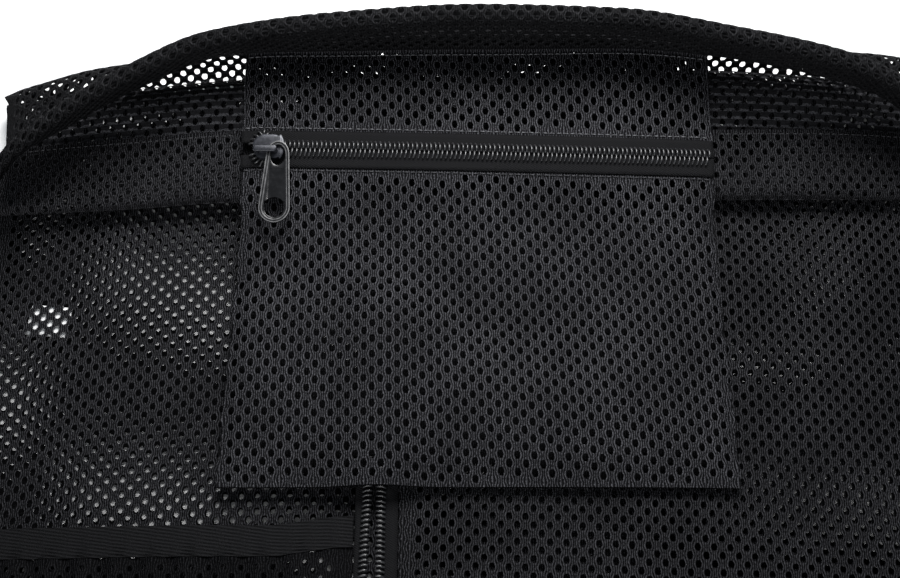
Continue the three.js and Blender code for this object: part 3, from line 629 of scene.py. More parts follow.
def hardMaterial(name, look):  # moulded or lacquered pieces: slight change of tone and gloss
    material, tree, shader = newMaterial(name, look["roughness"], look["specular"])
    shader.inputs["Metallic"].default_value = look["metallic"]
    coords = tree.nodes.new("ShaderNodeTexCoord")
    noise = tree.nodes.new("ShaderNodeTexNoise")
    noise.inputs["Scale"].default_value, noise.inputs["Detail"].default_value = look["scale"], 4
    tree.links.new(coords.outputs["Object"], noise.inputs["Vector"])
    share = rampNode(tree, noise.outputs["Fac"], 0.35, 0.7)
    tree.links.new(mixColour(tree, share, look["dark"], look["light"]), shader.inputs["Base Color"])
    low, high = look["roughness"] - look["change"], look["roughness"] + look["change"]
    gloss = mathNode(tree, "MULTIPLY_ADD", share, high - low, low)
    tree.links.new(gloss, shader.inputs["Roughness"])
    addBump(tree, shader, noise.outputs["Fac"], look["bump"], 0.0001)
    return material


meshLook = {
    "roughness": 0.6, "specular": 0.02, "pitch": 5.0, "row": 2.55, "bow": 0.4, "lines": 6, "fray": 0.2,
    "fineness": 0.6, "lineShare": 0.9, "ringShare": 0.1, "speckleShare": 0.06, "barShare": 2.6,
    "backShare": 0.15, "barTurns": 24.6, "bump": 0.6,
    "dark": (0.0012, 0.0012, 0.0014), "light": (0.052, 0.052, 0.057),
}
bagMesh = netMaterial("bag mesh", meshLook)
# mouth mesh: the bag's mesh with painted light and shade: its lighter colour and strong bars stand in for
# light the lamps do not bring to the collar, and its faint face lines keep the hem's face dark as painted
# shade
mouthCloth = netMaterial("mouth mesh", {
    **meshLook, "light": (0.14, 0.14, 0.15), "lineShare": 0.12, "ringShare": 0.05, "speckleShare": 0.02,
    "barShare": 2.4,
})
# lying mesh: the back wall's floor cloth on its own pitch and row; its darker colour and faint bars are
# painted shade for the inside of the bag seen through the front wall's holes
lyingLook = {**meshLook, "pitch": 5.15, "row": 2.44, "light": (0.02, 0.02, 0.022), "barShare": 0.3}
lyingCloth = netMaterial("lying mesh", lyingLook)
# darker colour of the same mesh, painted shade for the gathered slip pocket under the elastic and for the
# pocket's rear cloth
shadedLight = (0.016, 0.016, 0.0175)
slipCloth = netMaterial("slip pocket mesh", {**meshLook, "light": shadedLight})
pocketLook = {**meshLook, "pitch": 5.2, "row": 2.6}
pocketMesh = netMaterial("pocket mesh", {
    **pocketLook, "dark": (0.002, 0.002, 0.0023), "light": (0.08, 0.08, 0.088),
})
rearCloth = netMaterial("pocket rear mesh", {**pocketLook, "light": shadedLight})
tapeTwill = ribMaterial("tape twill", {
    "roughness": 0.8, "specular": 0.08, "dark": (0.0019, 0.0019, 0.0021), "light": (0.009, 0.009, 0.01),
    "fineness": 1.2, "turnsX": 52, "turnsY": 90, "ribShare": 0.55, "speckleShare": 0.5, "bump": 0.5,
})
elasticRib = ribMaterial("elastic rib", {
    "roughness": 0.8, "specular": 0.08, "dark": (0.0012, 0.0012, 0.0014), "light": (0.0115, 0.0115, 0.0125),
    "fineness": 1.0, "turnsX": 9, "turnsY": 60.8, "ribShare": 0.6, "speckleShare": 0.4, "bump": 0.6,
})
labelWeave = ribMaterial("label weave", {
    "roughness": 0.75, "specular": 0.2, "dark": (0.78, 0.78, 0.78), "light": (0.9, 0.9, 0.9), "fineness": 1.4,
    "turnsX": 110, "turnsY": 110, "ribShare": 0.5, "speckleShare": 0.5, "bump": 0.2,
})
coilNylon = hardMaterial("coil nylon", {
    "roughness": 0.32, "specular": 0.6, "metallic": 0.0, "dark": (0.012, 0.012, 0.013),
    "light": (0.028, 0.028, 0.03), "scale": 900, "change": 0.08, "bump": 0.1,
})
darkMetal = hardMaterial("dark metal", {
    "roughness": 0.34, "specular": 0.4, "metallic": 0.4, "dark": (0.016, 0.017, 0.021),
    "light": (0.026, 0.027, 0.034), "scale": 600, "change": 0.05, "bump": 0.02,
})
blackLacquer = hardMaterial("black lacquer", {
    "roughness": 0.24, "specular": 0.35, "metallic": 0.0, "dark": (0.004, 0.004, 0.0045),
    "light": (0.007, 0.007, 0.008), "scale": 500, "change": 0.04, "bump": 0.01,
})
# painted highlight: bright lines on the pull's rims that stand in for light caught on its edges
paintedEdgeHighlight = hardMaterial("painted edge highlight", {
    "roughness": 0.35, "specular": 0.4, "metallic": 0.0, "dark": (0.06, 0.06, 0.062),
    "light": (0.11, 0.11, 0.112), "scale": 700, "change": 0.05, "bump": 0.01,
})
threadLook = {
    "roughness": 0.6, "specular": 0.2, "fineness": 1.4, "turnsX": 70, "turnsY": 40, "ribShare": 0.6,
    "speckleShare": 0.4, "bump": 0.3,
}
sewingThread = ribMaterial("sewing thread", {
    **threadLook, "dark": (0.012, 0.012, 0.013), "light": (0.06, 0.06, 0.065),
})
# lighter copy of the sewing thread, painted light on the pocket's top and strip seams where the collar leaves
# the top seam in shade
seamThreadPaintedLight = ribMaterial("seam thread lightened as painted light", {
    **threadLook, "dark": (0.03, 0.03, 0.032), "light": (0.15, 0.15, 0.16),
})
print("materials made")


# bands: zip tapes, elastic and label

coilForm = {"inner": 0.3, "breadth": 2.6, "height": 1.4, "pitch": 1.5, "wire": 0.34, "slant": -0.45,
            "overlap": 0.6, "tapePast": 0.1, "seat": 0.12, "wobble": 0.05}
tapeForm = {"thickness": clothSizes["tape"], "slot": "zip_tape"}
pocketSpread = {"start": -64, "end": -75, "reach": 2}
elasticForm = {"thickness": 1.4, "breadth": 9.3, "topY": 7.5, "rise": 2.8, "riseFrom": -66, "left": -159,
               "right": -38.4, "lift": 0.3, "cord": 0.07, "cords": 9, "stitchDip": 0.22, "stitchAt": 0.24,
               "stitchBreadth": 0.03, "stitchStep": 3, "sink": 0.1, "slot": "elastic_weave"}


def elasticTop(x):
    return elasticForm["topY"] + elasticForm["rise"] * ease(x, elasticForm["riseFrom"], elasticForm["right"])


def pocketTapeEdge(x):
    opened = ease(-x, -pocketSpread["start"], -pocketSpread["end"])
    return coilForm["inner"] - coilForm["tapePast"] + pocketSpread["reach"] * opened


def frontOpening(y):
    below = np.maximum(frontZip["sliderY"] - y, 0)
    stop = ease(y, frontZip["bottom"], frontZip["bottom"] + 30)
    return frontZip["open"] * (1 - np.exp(-frontZip["rate"] * below)) * stop


def upperTapePoint(across, along):
    x = (across * 2 - 1) * pocketForm["topHalf"]
    y = zipLine(x) + mix(pocketTapeEdge(x), pocketForm["reach"], along)
    return x, y, pocketFace(x, y)


def lowerTapePoint(across, along):
    x = (across * 2 - 1) * pocketForm["topHalf"]
    y = zipLine(x) - mix(pocketForm["reach"], pocketTapeEdge(x), along)
    return x, y, pocketFace(x, y)


def leftTapePoint(across, along):
    y = mix(frontZip["bottom"], frontZip["top"], along)
    edge = frontZip["x"] - coilForm["inner"] + coilForm["tapePast"] - frontOpening(y)
    x = mix(frontZip["leftEdge"], edge, across)
    return x, y, frontHeight(x, y) + panelLift


def rightTapePoint(across, along):
    y = mix(frontZip["bottom"], frontZip["top"], along)
    x = mix(frontZip["x"] + coilForm["inner"] - coilForm["tapePast"], frontZip["rightEdge"], across)
    return x, y, frontHeight(x, y) + panelLift


def elasticPoint(across, along):
    x = mix(elasticForm["left"], elasticForm["right"], across)
    y = elasticTop(x) - elasticForm["breadth"] * (1 - along)
    return x, y, frontHeight(x, y) + panelLift + elasticForm["lift"]


def elasticRelief(u, v, drape):  # cords of the elastic, and the dips of the stitch row
    form, share = elasticForm, v / drape.length
    cords = form["cord"] * np.cos(2 * math.pi * share * form["cords"])
    row = np.exp(-(((share - form["stitchAt"]) / form["stitchBreadth"]) ** 2))
    stitch = -form["stitchDip"] * row * (np.cos(2 * math.pi * u / form["stitchStep"]) > 0.1)
    return cords + stitch - form["sink"]


tapes = {}
for label, node, columns, rows, pointAt in (
        ("upperTape", "pocket_upper_tape", 120, 6, upperTapePoint),
        ("lowerTape", "pocket_lower_tape", 120, 6, lowerTapePoint),
        ("leftTape", "front_left_tape", 5, 120, leftTapePoint),
        ("rightTape", "front_right_tape", 5, 120, rightTapePoint)):
    tapes[label], _ = wovenBand(label, node, gridOf(columns, rows, pointAt), tapeForm, tapeTwill)
elasticBand, _ = wovenBand("elasticBand", "elastic_band", gridOf(160, 67, elasticPoint),
                           {**elasticForm, "relief": elasticRelief}, elasticRib)

labelForm = {"x": -142.8, "y": 76.8, "breadth": 14.4, "height": 10.4, "thickness": 0.6, "turn": -8,
             "slot": "label_cloth"}


def labelPoint(across, along):
    turn = math.radians(labelForm["turn"])
    out, up = (across - 0.5) * labelForm["breadth"], (along - 0.5) * labelForm["height"]
    x = labelForm["x"] + out * math.cos(turn) - up * math.sin(turn)
    y = labelForm["y"] + out * math.sin(turn) + up * math.cos(turn)
    return x, y, frontHeight(x, y) - (clothSizes["wall"] + labelForm["thickness"]) / 2 - clothSizes["gap"]


blankLabel, labelFlat = wovenBand("blankLabel", "label", gridOf(13, 9, labelPoint), labelForm, labelWeave)
print("bands laid")


# zip teeth: one bent loop of wire, copied along each tape

def toothShape():
    # wire with a slanted foot on the tape and a raised head past the closing line
    wire, stations, around = coilForm["wire"], 9, 6
    reach, height = coilForm["breadth"] - wire, coilForm["height"] - wire
    share = np.linspace(0, 1, stations)
    slant = coilForm["slant"] * (1 - ease(share, 0, 0.5))
    rise = wire + (height - wire) * ease(share, 0, 0.35) * (1 - 0.5 * ease(share, 0.8, 1))
    line = np.stack([slant, -reach / 2 + (reach + coilForm["overlap"]) * share, rise], -1)
    ahead = unit(np.gradient(line, axis=0))
    sideways = np.array([1.0, 0, 0])
    up = np.cross(sideways, ahead)
    angle = 2 * math.pi * np.arange(around) / around
    taper = np.where(share > 0.86, 0.9, 1)
    ring = (line[:, None] + wire * taper[:, None, None] * (np.cos(angle)[None, :, None] * sideways
            + np.sin(angle)[None, :, None] * up[:, None]))
    points = ring.reshape(-1, 3)
    number = np.arange(stations * around).reshape(stations, around)
    a, b = number[:-1], number[1:]
    sides = np.stack([a, b, np.roll(b, -1, 1), np.roll(a, -1, 1)], -1).reshape(-1, 4)
    foot, head = number[0], number[-1]
    caps = np.array([foot[[0, 1, 2, 3]], foot[[0, 3, 4, 5]], head[[3, 2, 1, 0]], head[[5, 4, 3, 0]]])
    return points, np.concatenate([sides[:, ::-1], caps[:, ::-1]])


def layTeeth(name, node, places, inward):
    # places are points on the tape with even spacing; inward points from the tape to the closing line
    points, faces = toothShape()
    along = unit(np.gradient(places, axis=0))
    inward = unit(inward - (inward * along).sum(1)[:, None] * along)
    up = np.cross(along, inward)
    up *= np.sign(up[:, 2])[:, None]
    lift = clothSizes["tape"] / 2 + coilForm["seat"]
    wobble = rng.normal(0, coilForm["wobble"], (len(places), 1))
    base = places + up * lift + along * wobble
    placed = (base[:, None] + points[None, :, 0, None] * along[:, None]
              + points[None, :, 1, None] * inward[:, None] + points[None, :, 2, None] * up[:, None])
    allFaces = faces[None] + (np.arange(len(places)) * len(points))[:, None, None]
    mirrored = np.linalg.det(np.stack([along, inward, up], -1)) < 0
    allFaces = np.where(mirrored[:, None, None], allFaces[:, :, ::-1], allFaces)
    piece = pieceFromArrays(name, placed.reshape(-1, 3), allFaces.reshape(-1, 4))
    piece.data.materials.append(coilNylon)
    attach(piece, "bag")
    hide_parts(node)
    return piece


def spaced(line, step, shift):  # points along a line at even steps
    length = np.concatenate([[0], np.cumsum(np.linalg.norm(np.diff(line, axis=0), axis=1))])
    at = np.arange(shift, length[-1], step)
    return np.stack([np.interp(at, length, line[:, axis]) for axis in range(3)], -1)


coilFan = {"x": -68.5, "radius": 5.9, "start": 166, "end": 104,  # open teeth spread round the slider's nose
           "past": 1, "endShort": 1.5, "fanSteps": 60, "closedSteps": 400, "frontSteps": 600}
for label, side, shift in (("Upper", 1, 0.2), ("Lower", -1, 0.95)):
    turn = np.radians(np.linspace(coilFan["start"], coilFan["end"], coilFan["fanSteps"]))
    closed = np.linspace(coilFan["x"] + coilFan["past"], pocketForm["topHalf"] - coilFan["endShort"],
                         coilFan["closedSteps"])
    away = pocketTapeEdge(closed) + coilForm["tapePast"] + coilForm["breadth"] / 2
    x = np.concatenate([coilFan["x"] + coilFan["radius"] * np.cos(turn), closed])
    y = np.concatenate([zipLine(coilFan["x"]) + side * coilFan["radius"] * np.sin(turn),
                        zipLine(closed) + side * away])
    places = spaced(np.stack([x, y, pocketFace(x, y)], -1), coilForm["pitch"], shift)
    middle = np.array([coilFan["x"], zipLine(coilFan["x"]), 0])
    inward = np.where(places[:, :1] < coilFan["x"], (middle - places) * [1, 1, 0], [0, -side, 0])
    layTeeth("teeth" + label, f"pocket_{label.lower()}_coil", places, inward)
for label, side, shift in (("Left", -1, 1.15), ("Right", 1, 0.4)):
    y = np.linspace(frontZip["bottom"], frontZip["top"], coilFan["frontSteps"])
    opening = frontOpening(y) if side < 0 else 0
    x = frontZip["x"] + side * (coilForm["inner"] + coilForm["breadth"] / 2 + opening)
    line = np.stack([x * np.ones(len(y)), y, frontHeight(x, y) + panelLift], -1)
    places = spaced(line, coilForm["pitch"], shift)
    inward = np.tile([-side, 0, 0.0], (len(places), 1))
    layTeeth("teeth" + label, f"front_{label.lower()}_coil", places, inward)
print("zip teeth laid")


# mesh sheets

wallNet = {
    "pitch": meshLook["pitch"], "row": meshLook["row"], "hole": (2.0, 2.5), "sides": 8, "ragged": 0.05,
    "slot": "mesh_cloth", "rings": [(0, 1, 0.1), (1, 0, -0.06)], "plain": (4, 4, 5, 0.6),
}
mouthRings = [(-0.1, 1, 0.5), (0, 0.95, 0), (1, 0, -0.06)]  # with the depth of the yarns at each hole
pocketNet = {
    "pitch": pocketLook["pitch"], "row": pocketLook["row"], "hole": (1.85, 2.6), "sides": 16, "ragged": 0.06,
    "slot": "pocket_mesh", "grain": (-2.3, 1.7), "plain": (0.5, 0.5, 0.7, 0.4),
    "rings": [(0, 1, 0.0), (0.28, 0.6, 0.16), (1, 0, -0.08)],
}
lyingNet = {"pitch": lyingLook["pitch"], "row": lyingLook["row"], "plain": (4, 4, 5, 0.3), "turned": True,
            "hole": (1.75, 2.2), "grain": (-1.7, 0.8), "shift": (1.7, -1.4)}

backFloor, backMouthRise, outerHem = backWallGrids()
mouthSeam = {"half": 79, "reach": 5, "holesDrawn": 0.25}  # the pocket's seam, and the doubled hem
mouthNet = {
    **wallNet, "hole": (2.25, 2.7), "sides": 12, "plain": (1, 1, 0.3, 0.6), "turned": True,
    "shift": (0.7, 1.54), "rings": mouthRings, "doubled": (*outerHem, mouthSeam["holesDrawn"]),
    "seams": [(mouthSeam["half"], outerHem[0] - mouthSeam["reach"], outerHem[0] + mouthSeam["reach"])],
}
frontNet = {**wallNet, "shift": (1.1, 0.4), "grain": (0.8, 0.8)}
netSheet("backMesh", ("back_wall",), backFloor, {**wallNet, **lyingNet}, lyingCloth)
netSheet("mouthMesh", ("back_mouth",), backMouthRise, mouthNet, mouthCloth)
netSheet("frontMesh", ("front_wall",), frontWallGrid(), frontNet, bagMesh)

stripTuck = {"level": 0.92, "from": 0.9, "back": 0.7, "rise": 1.6}


def pocketRearPoint(across, along):
    y = mix(pocketForm["bottomY"], pocketTopY((across * 2 - 1) * pocketForm["topHalf"]), along)
    x = (across * 2 - 1) * pocketHalf(y)
    return x, y, pocketHeight(x, y)


def pocketFrontPoint(across, along):
    level = zipLine((across * 2 - 1) * pocketForm["topHalf"])
    y = mix(pocketForm["bottomY"], level - pocketForm["reach"] - clothSizes["gap"], along)
    x = pocketSide(across * 2 - 1, y)
    return x, y, pocketFace(x, y)


def pocketStripPoint(across, along):  # its top is tucked up behind the turned-in cloth of the hem
    x = (across * 2 - 1) * pocketForm["topHalf"]
    bottom = zipLine(x) + pocketForm["reach"] + clothSizes["gap"]
    y = mix(bottom, pocketTopY(x), np.minimum(along / stripTuck["level"], 1))
    stitch, tucked = stitchLine(x), ease(along, stripTuck["from"], 1)
    tuckedZ = mix(pocketFace(x, y), stitch[..., 1] + stripTuck["rise"], tucked)
    return x, mix(y, stitch[..., 0] - stripTuck["back"], tucked), tuckedZ


rearNet = {**pocketNet, "sides": 8, "rings": wallNet["rings"], "shift": (1.9, 0.7)}
stripNet = {**pocketNet, "plain": (0.5, 0.5, 0.4, 2.5)}
netSheet("pocketRearMesh", ("pocket_back",), gridOf(90, 110, pocketRearPoint), rearNet, rearCloth)
netSheet("pocketFrontMesh", ("pocket_front",), gridOf(90, 90, pocketFrontPoint), pocketNet, pocketMesh)
netSheet("pocketStripMesh", ("pocket_strip",), gridOf(90, 40, pocketStripPoint), stripNet, pocketMesh)

panelForm = {"left": -24.6, "right": 160, "bottom": -170, "top": 124}
slipForm = {"left": -158, "right": -38.4, "bottom": -170, "bulge": 3, "gather": 1.2, "pitch": 11, "fade": 70,
            "sideEase": 14, "bottomEase": 60, "topEase": 45}


def panelPoint(across, along):
    x = mix(panelForm["left"], panelForm["right"], across)
    y = mix(panelForm["bottom"], panelForm["top"], along)
    return x, y, frontHeight(x, y) + panelLift


def slipPoint(across, along):
    form = slipForm
    x = mix(form["left"], form["right"], across)
    top = elasticTop(x) - elasticForm["breadth"] - clothSizes["gap"]
    y = mix(form["bottom"], top, along)
    fromSides = ease(x - form["left"], 0, form["sideEase"]) * ease(form["right"] - x, 0, form["sideEase"])
    fromEdges = fromSides * ease(y - form["bottom"], 0, form["bottomEase"])
    bulge = form["bulge"] * fromEdges * ease(top - y, 0, form["topEase"])
    wave = 1 + np.cos(2 * math.pi * x / form["pitch"])
    gathers = form["gather"] * fromEdges * wave * np.exp((y - top) / form["fade"])
    return x, y, frontHeight(x, y) + panelLift + bulge + gathers


panelNet = {**wallNet, "shift": (0.4, 1.3), "grain": (-1.5, -1.5)}
slipNet = {**wallNet, "hole": (1.5, 1.9), "shift": (2.1, 0.2)}
netSheet("zipPanelMesh", ("zip_panel",), gridOf(80, 120, panelPoint), panelNet, bagMesh)
netSheet("slipPocketMesh", ("slip_pocket",), gridOf(240, 90, slipPoint), slipNet, slipCloth)
print("mesh sheets laid")


# stitch rows: short arched threads, all of a row in one mesh

stitchForm = {"step": 2.3, "length": 1.9, "radius": 0.17, "lift": 0.2, "arch": 0.14, "sideInset": 0.6,
              "aboveZip": 1.1, "belowZip": 1.0, "belowTop": 1.4, "fromCuffEdge": 2.6, "cuffEnds": (82, 158)}


def layStitches(name, line, material):
    form = stitchForm
    places = spaced(line, form["step"], form["step"] / 2)
    along = unit(np.gradient(places, axis=0))
    side = unit(np.cross([0, 0, 1.0], along))
    up = np.cross(along, side)
    station = np.array([-0.5, -0.25, 0.25, 0.5]) * form["length"]
    rise = form["lift"] + form["arch"] * np.array([-1, 1, 1, -1])
    radius = form["radius"] * np.array([0.5, 1, 1, 0.5])  # thin at both ends
    around = 6
    angle = 2 * math.pi * np.arange(around) / around
    spine = places[:, None] + station[None, :, None] * along[:, None] + rise[None, :, None] * up[:, None]
    ring = radius[None, :, None, None] * (np.cos(angle)[None, None, :, None] * side[:, None, None]
                                          + np.sin(angle)[None, None, :, None] * up[:, None, None])
    points = (spine[:, :, None] + ring).reshape(-1, 3)
    number = np.arange(len(station) * around).reshape(len(station), around)
    a, b = number[:-1], number[1:]
    sides = np.stack([a, np.roll(a, -1, 1), np.roll(b, -1, 1), b], -1).reshape(-1, 4)
    start, end = number[0], number[-1]
    caps = np.array([start[[3, 2, 1, 0]], start[[5, 4, 3, 0]], end[[0, 1, 2, 3]], end[[0, 3, 4, 5]]])
    one = np.concatenate([sides, caps])[:, ::-1]
    faces = (one[None] + (np.arange(len(places)) * number.size)[:, None, None]).reshape(-1, 4)
    flat = np.stack([np.repeat(np.arange(len(places)) * form["step"], number.size),
                     np.tile(np.repeat(station, around), len(places))], -1)
    piece = pieceFromArrays(name, points, faces, flat)
    piece.data.materials.append(material)
    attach(piece, "bag")


def pocketSeam(edge):
    half = pocketForm["topHalf"] - stitchForm["sideInset"]
    x = np.linspace(-half, half, 200)
    y = edge(x)
    return np.stack([x, y, pocketFace(x, y)], -1)


def cuffSeam(start, end):  # on the turned-in cloth of the cuff, just inside its edge
    across = np.linspace(start, end, 60)
    section, _, turn, along, side = frontRoll(across)
    spot = turn + along * (stitchForm["fromCuffEdge"] + bagBody["loop"] - bagBody["hem"]) + side * layer
    return np.stack([section["rimX"], spot[:, 0], spot[:, 1]], -1)


aboveZip = pocketForm["reach"] + stitchForm["aboveZip"]
belowZip = pocketForm["reach"] + stitchForm["belowZip"]
cuffInner, cuffOuter = stitchForm["cuffEnds"]
layStitches("stripStitches", pocketSeam(lambda x: zipLine(x) + aboveZip), seamThreadPaintedLight)
layStitches("zipStitches", pocketSeam(lambda x: zipLine(x) - belowZip), sewingThread)
layStitches("topStitches", pocketSeam(lambda x: pocketTopY(x) - stitchForm["belowTop"]),
            seamThreadPaintedLight)
layStitches("cuffStitchesLeft", cuffSeam(-cuffOuter, -cuffInner), sewingThread)
layStitches("cuffStitchesRight", cuffSeam(cuffInner, cuffOuter), sewingThread)
print("stitches laid")


# slider and pull, in the slider's own frame: x along the zip, z off the tape

sliderForm = {"x": coilFan["x"], "length": 10.4, "breadth": 8.4, "plate": 0.8, "neck": 2.4, "neckY": 1.8,
              "neckX": -3.4, "neckShort": 0.6, "corner": 4.0, "broadFrom": 4, "broaden": 1.3,
              "crownInset": 0.7, "crown": 0.12, "softEdge": 0.16}
bridgeForm = {"left": -4.6, "postX": 2.4, "postY": -1.6, "breadth": 2.2, "height": 1.35, "postRadius": 0.75,
              "corner": 0.95, "softEdge": 0.45, "foot": 1.6, "footDrop": 0.3, "postDrop": 0.4}
pullForm = {"thickness": 1.1, "neckHalf": 3.75, "endHalf": 5.1, "eyeX": 1, "eyeY": -1.8,
            "eyeHalf": (2.5, 3.5), "rimTop": 1.25, "tipY": -24.5, "holeHalf": 3.4, "holeTop": -17.4,
            "tilt": 1.7, "lean": -2.4, "topRound": 0.92, "cutDepth": 6, "panel": (5.2, 10.6, 1),
            "panelY": -11.6, "panelLift": 0.16, "panelCorner": 0.9, "softEdge": 0.1,
            # first number of each rim: material slot, 1 being the painted edge highlight
            "rims": [(1, 0.34, 0), (0, 0.5, 0), (1, 0.32, -0.2)]}  # edge, flat of the rim, inner edge
tapeLift = clothSizes["tape"] / 2 + clothSizes["gap"]
plateFoot = tapeLift + coilForm["height"] + clothSizes["gap"]
plateTop = plateFoot + sliderForm["plate"]
pullFoot = plateTop + clothSizes["gap"]
bridgeFoot = pullFoot + pullForm["thickness"] + clothSizes["gap"]
bridgeTop = bridgeFoot + bridgeForm["height"]

sliderY = zipLine(sliderForm["x"])
zipHeights = pocketFace(np.full(3, sliderForm["x"]), sliderY + np.array([-1.0, 0, 1]))
zipSlope = math.atan2(zipHeights[2] - zipHeights[0], 2)
sliderPlace = (Matrix.Translation(Vector((sliderForm["x"], sliderY, zipHeights[1])) * mm)
               @ Matrix.Rotation(zipSlope, 4, "X"))
pullPost = Vector((bridgeForm["postX"], bridgeForm["postY"], pullFoot)) * mm
pullPlace = (sliderPlace @ Matrix.Translation(pullPost)
             @ Matrix.Rotation(math.radians(pullForm["tilt"]), 4, "X")
             @ Matrix.Rotation(math.radians(pullForm["lean"]), 4, "Z"))


def clearSelection(piece):
    bpy.ops.object.mode_set(mode="OBJECT")
    for part in (*piece.data.vertices, *piece.data.edges, *piece.data.polygons):
        part.select = False


def selectFaces(piece, test):
    clearSelection(piece)
    for face in piece.data.polygons:
        face.select = bool(test(face))
    bpy.ops.object.mode_set(mode="EDIT")
    bpy.ops.mesh.select_mode(type="FACE")


def selectEdges(piece, test):
    clearSelection(piece)
    for edge in piece.data.edges:
        ends = [piece.data.vertices[i].co for i in edge.vertices]
        edge.select = bool(test(*ends))
    bpy.ops.object.mode_set(mode="EDIT")
    bpy.ops.mesh.select_mode(type="EDGE")


def addBlock(name, size, centre):  # block in the slider's frame
    deselectAll()
    bpy.ops.mesh.primitive_cube_add(size=1, location=Vector(centre) * mm)
    piece = bpy.context.active_object
    piece.name = piece.data.name = name
    piece.scale = Vector(size) * mm
    bpy.ops.object.transform_apply(location=True, rotation=False, scale=True)
    return piece


def upright(start, end):
    return abs(start.x - end.x) < 1e-6 and abs(start.y - end.y) < 1e-6


def roundCorners(piece, width, segments):
    selectEdges(piece, upright)
    bpy.ops.mesh.bevel(offset=width * mm, segments=segments, affect="EDGES")
    bpy.ops.object.mode_set(mode="OBJECT")


def softenEdges(piece, width, segments=2):
    bevel = piece.modifiers.new("soft edge", "BEVEL")
    bevel.width, bevel.segments, bevel.limit_method = width * mm, segments, "ANGLE"
    bevel.angle_limit = math.radians(30)
    bpy.context.view_layer.objects.active = piece
    bpy.ops.object.modifier_apply(modifier=bevel.name)


def cutAway(piece, cutter):
    cut = piece.modifiers.new("cut", "BOOLEAN")
    cut.operation, cut.solver, cut.object = "DIFFERENCE", "EXACT", cutter
    deselectAll()
    bpy.context.view_layer.objects.active = piece
    bpy.ops.object.modifier_apply(modifier=cut.name)
    bpy.data.objects.remove(cutter)


def joinPieces(first, *others):
    deselectAll()
    for piece in (first, *others):
        piece.select_set(True)
    bpy.context.view_layer.objects.active = first
    bpy.ops.object.join()
    return first


def finishHard(piece, place, body, node, material):
    piece.data.transform(place)
    piece.data.update()
    deselectAll()
    piece.select_set(True)
    bpy.context.view_layer.objects.active = piece
    bpy.ops.object.shade_smooth_by_angle(angle=math.radians(35))
    if not piece.data.materials:
        piece.data.materials.append(material)
    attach(piece, body)
    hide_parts(node)


def sliderPlate(name, low, high):  # rounded plate, broader at one end, with a soft crown
    form = sliderForm
    piece = addBlock(name, (form["length"], form["breadth"], high - low), (0, 0, (low + high) / 2))
    roundCorners(piece, form["corner"], 9)
    selectFaces(piece, lambda face: face.center.x > form["broadFrom"] * mm and abs(face.normal.z) < 0.3)
    bpy.ops.transform.resize(value=(1, form["broaden"], 1))
    selectFaces(piece, lambda face: face.normal.z > 0.9)
    bpy.ops.mesh.inset(thickness=form["crownInset"] * mm, depth=0)
    bpy.ops.transform.translate(value=(0, 0, form["crown"] * mm))
    bpy.ops.object.mode_set(mode="OBJECT")
    softenEdges(piece, form["softEdge"])
    return piece


def makePocketSlider():
    form, low = bridgeForm, -tapeLift - sliderForm["plate"]
    lower = sliderPlate("sliderLower", low, -tapeLift - sliderForm["crown"])
    upper = sliderPlate("sliderUpper", plateFoot, plateTop - sliderForm["crown"])
    neckSize = (sliderForm["neck"], sliderForm["neckY"], plateTop - low - sliderForm["neckShort"])
    neck = addBlock("sliderNeck", neckSize, (sliderForm["neckX"], 0, (plateTop + low) / 2))
    roundCorners(neck, 0.5, 2)
    barEnd = form["postX"] + form["postRadius"]
    bar = addBlock("sliderBar", (barEnd - form["left"], form["breadth"], form["height"]),
                   ((form["left"] + barEnd) / 2, form["postY"], bridgeTop - form["height"] / 2))
    roundCorners(bar, form["corner"], 5)
    softenEdges(bar, form["softEdge"], 4)
    middle, tall = (bridgeTop + plateTop) / 2, bridgeTop - plateTop
    foot = addBlock("sliderFoot", (form["foot"], form["breadth"], tall),
                    (form["left"] + form["foot"] / 2, form["postY"], middle - form["footDrop"]))
    roundCorners(foot, 0.5, 3)
    deselectAll()
    postMiddle = Vector((form["postX"], form["postY"], middle - form["postDrop"])) * mm
    bpy.ops.mesh.primitive_cylinder_add(vertices=20, radius=form["postRadius"] * mm, depth=tall * mm,
                                        location=postMiddle)
    post = bpy.context.active_object
    bpy.ops.object.transform_apply(location=True, rotation=False, scale=True)
    piece = joinPieces(lower, upper, neck, bar, foot, post)
    piece.name = piece.data.name = "pocketSlider"
    finishHard(piece, sliderPlace, "bag", "pocket_slider", darkMetal)


def ovalDisc(name, half, centre, depth):  # upright oval prism for cutting
    deselectAll()
    bpy.ops.mesh.primitive_cylinder_add(vertices=40, radius=mm, depth=depth * mm, location=(0, 0, 0))
    piece = bpy.context.active_object
    piece.name = name
    piece.scale = (half[0], half[1], 1)
    piece.location = Vector((*centre, 0)) * mm
    bpy.ops.object.transform_apply(location=True, rotation=False, scale=True)
    return piece


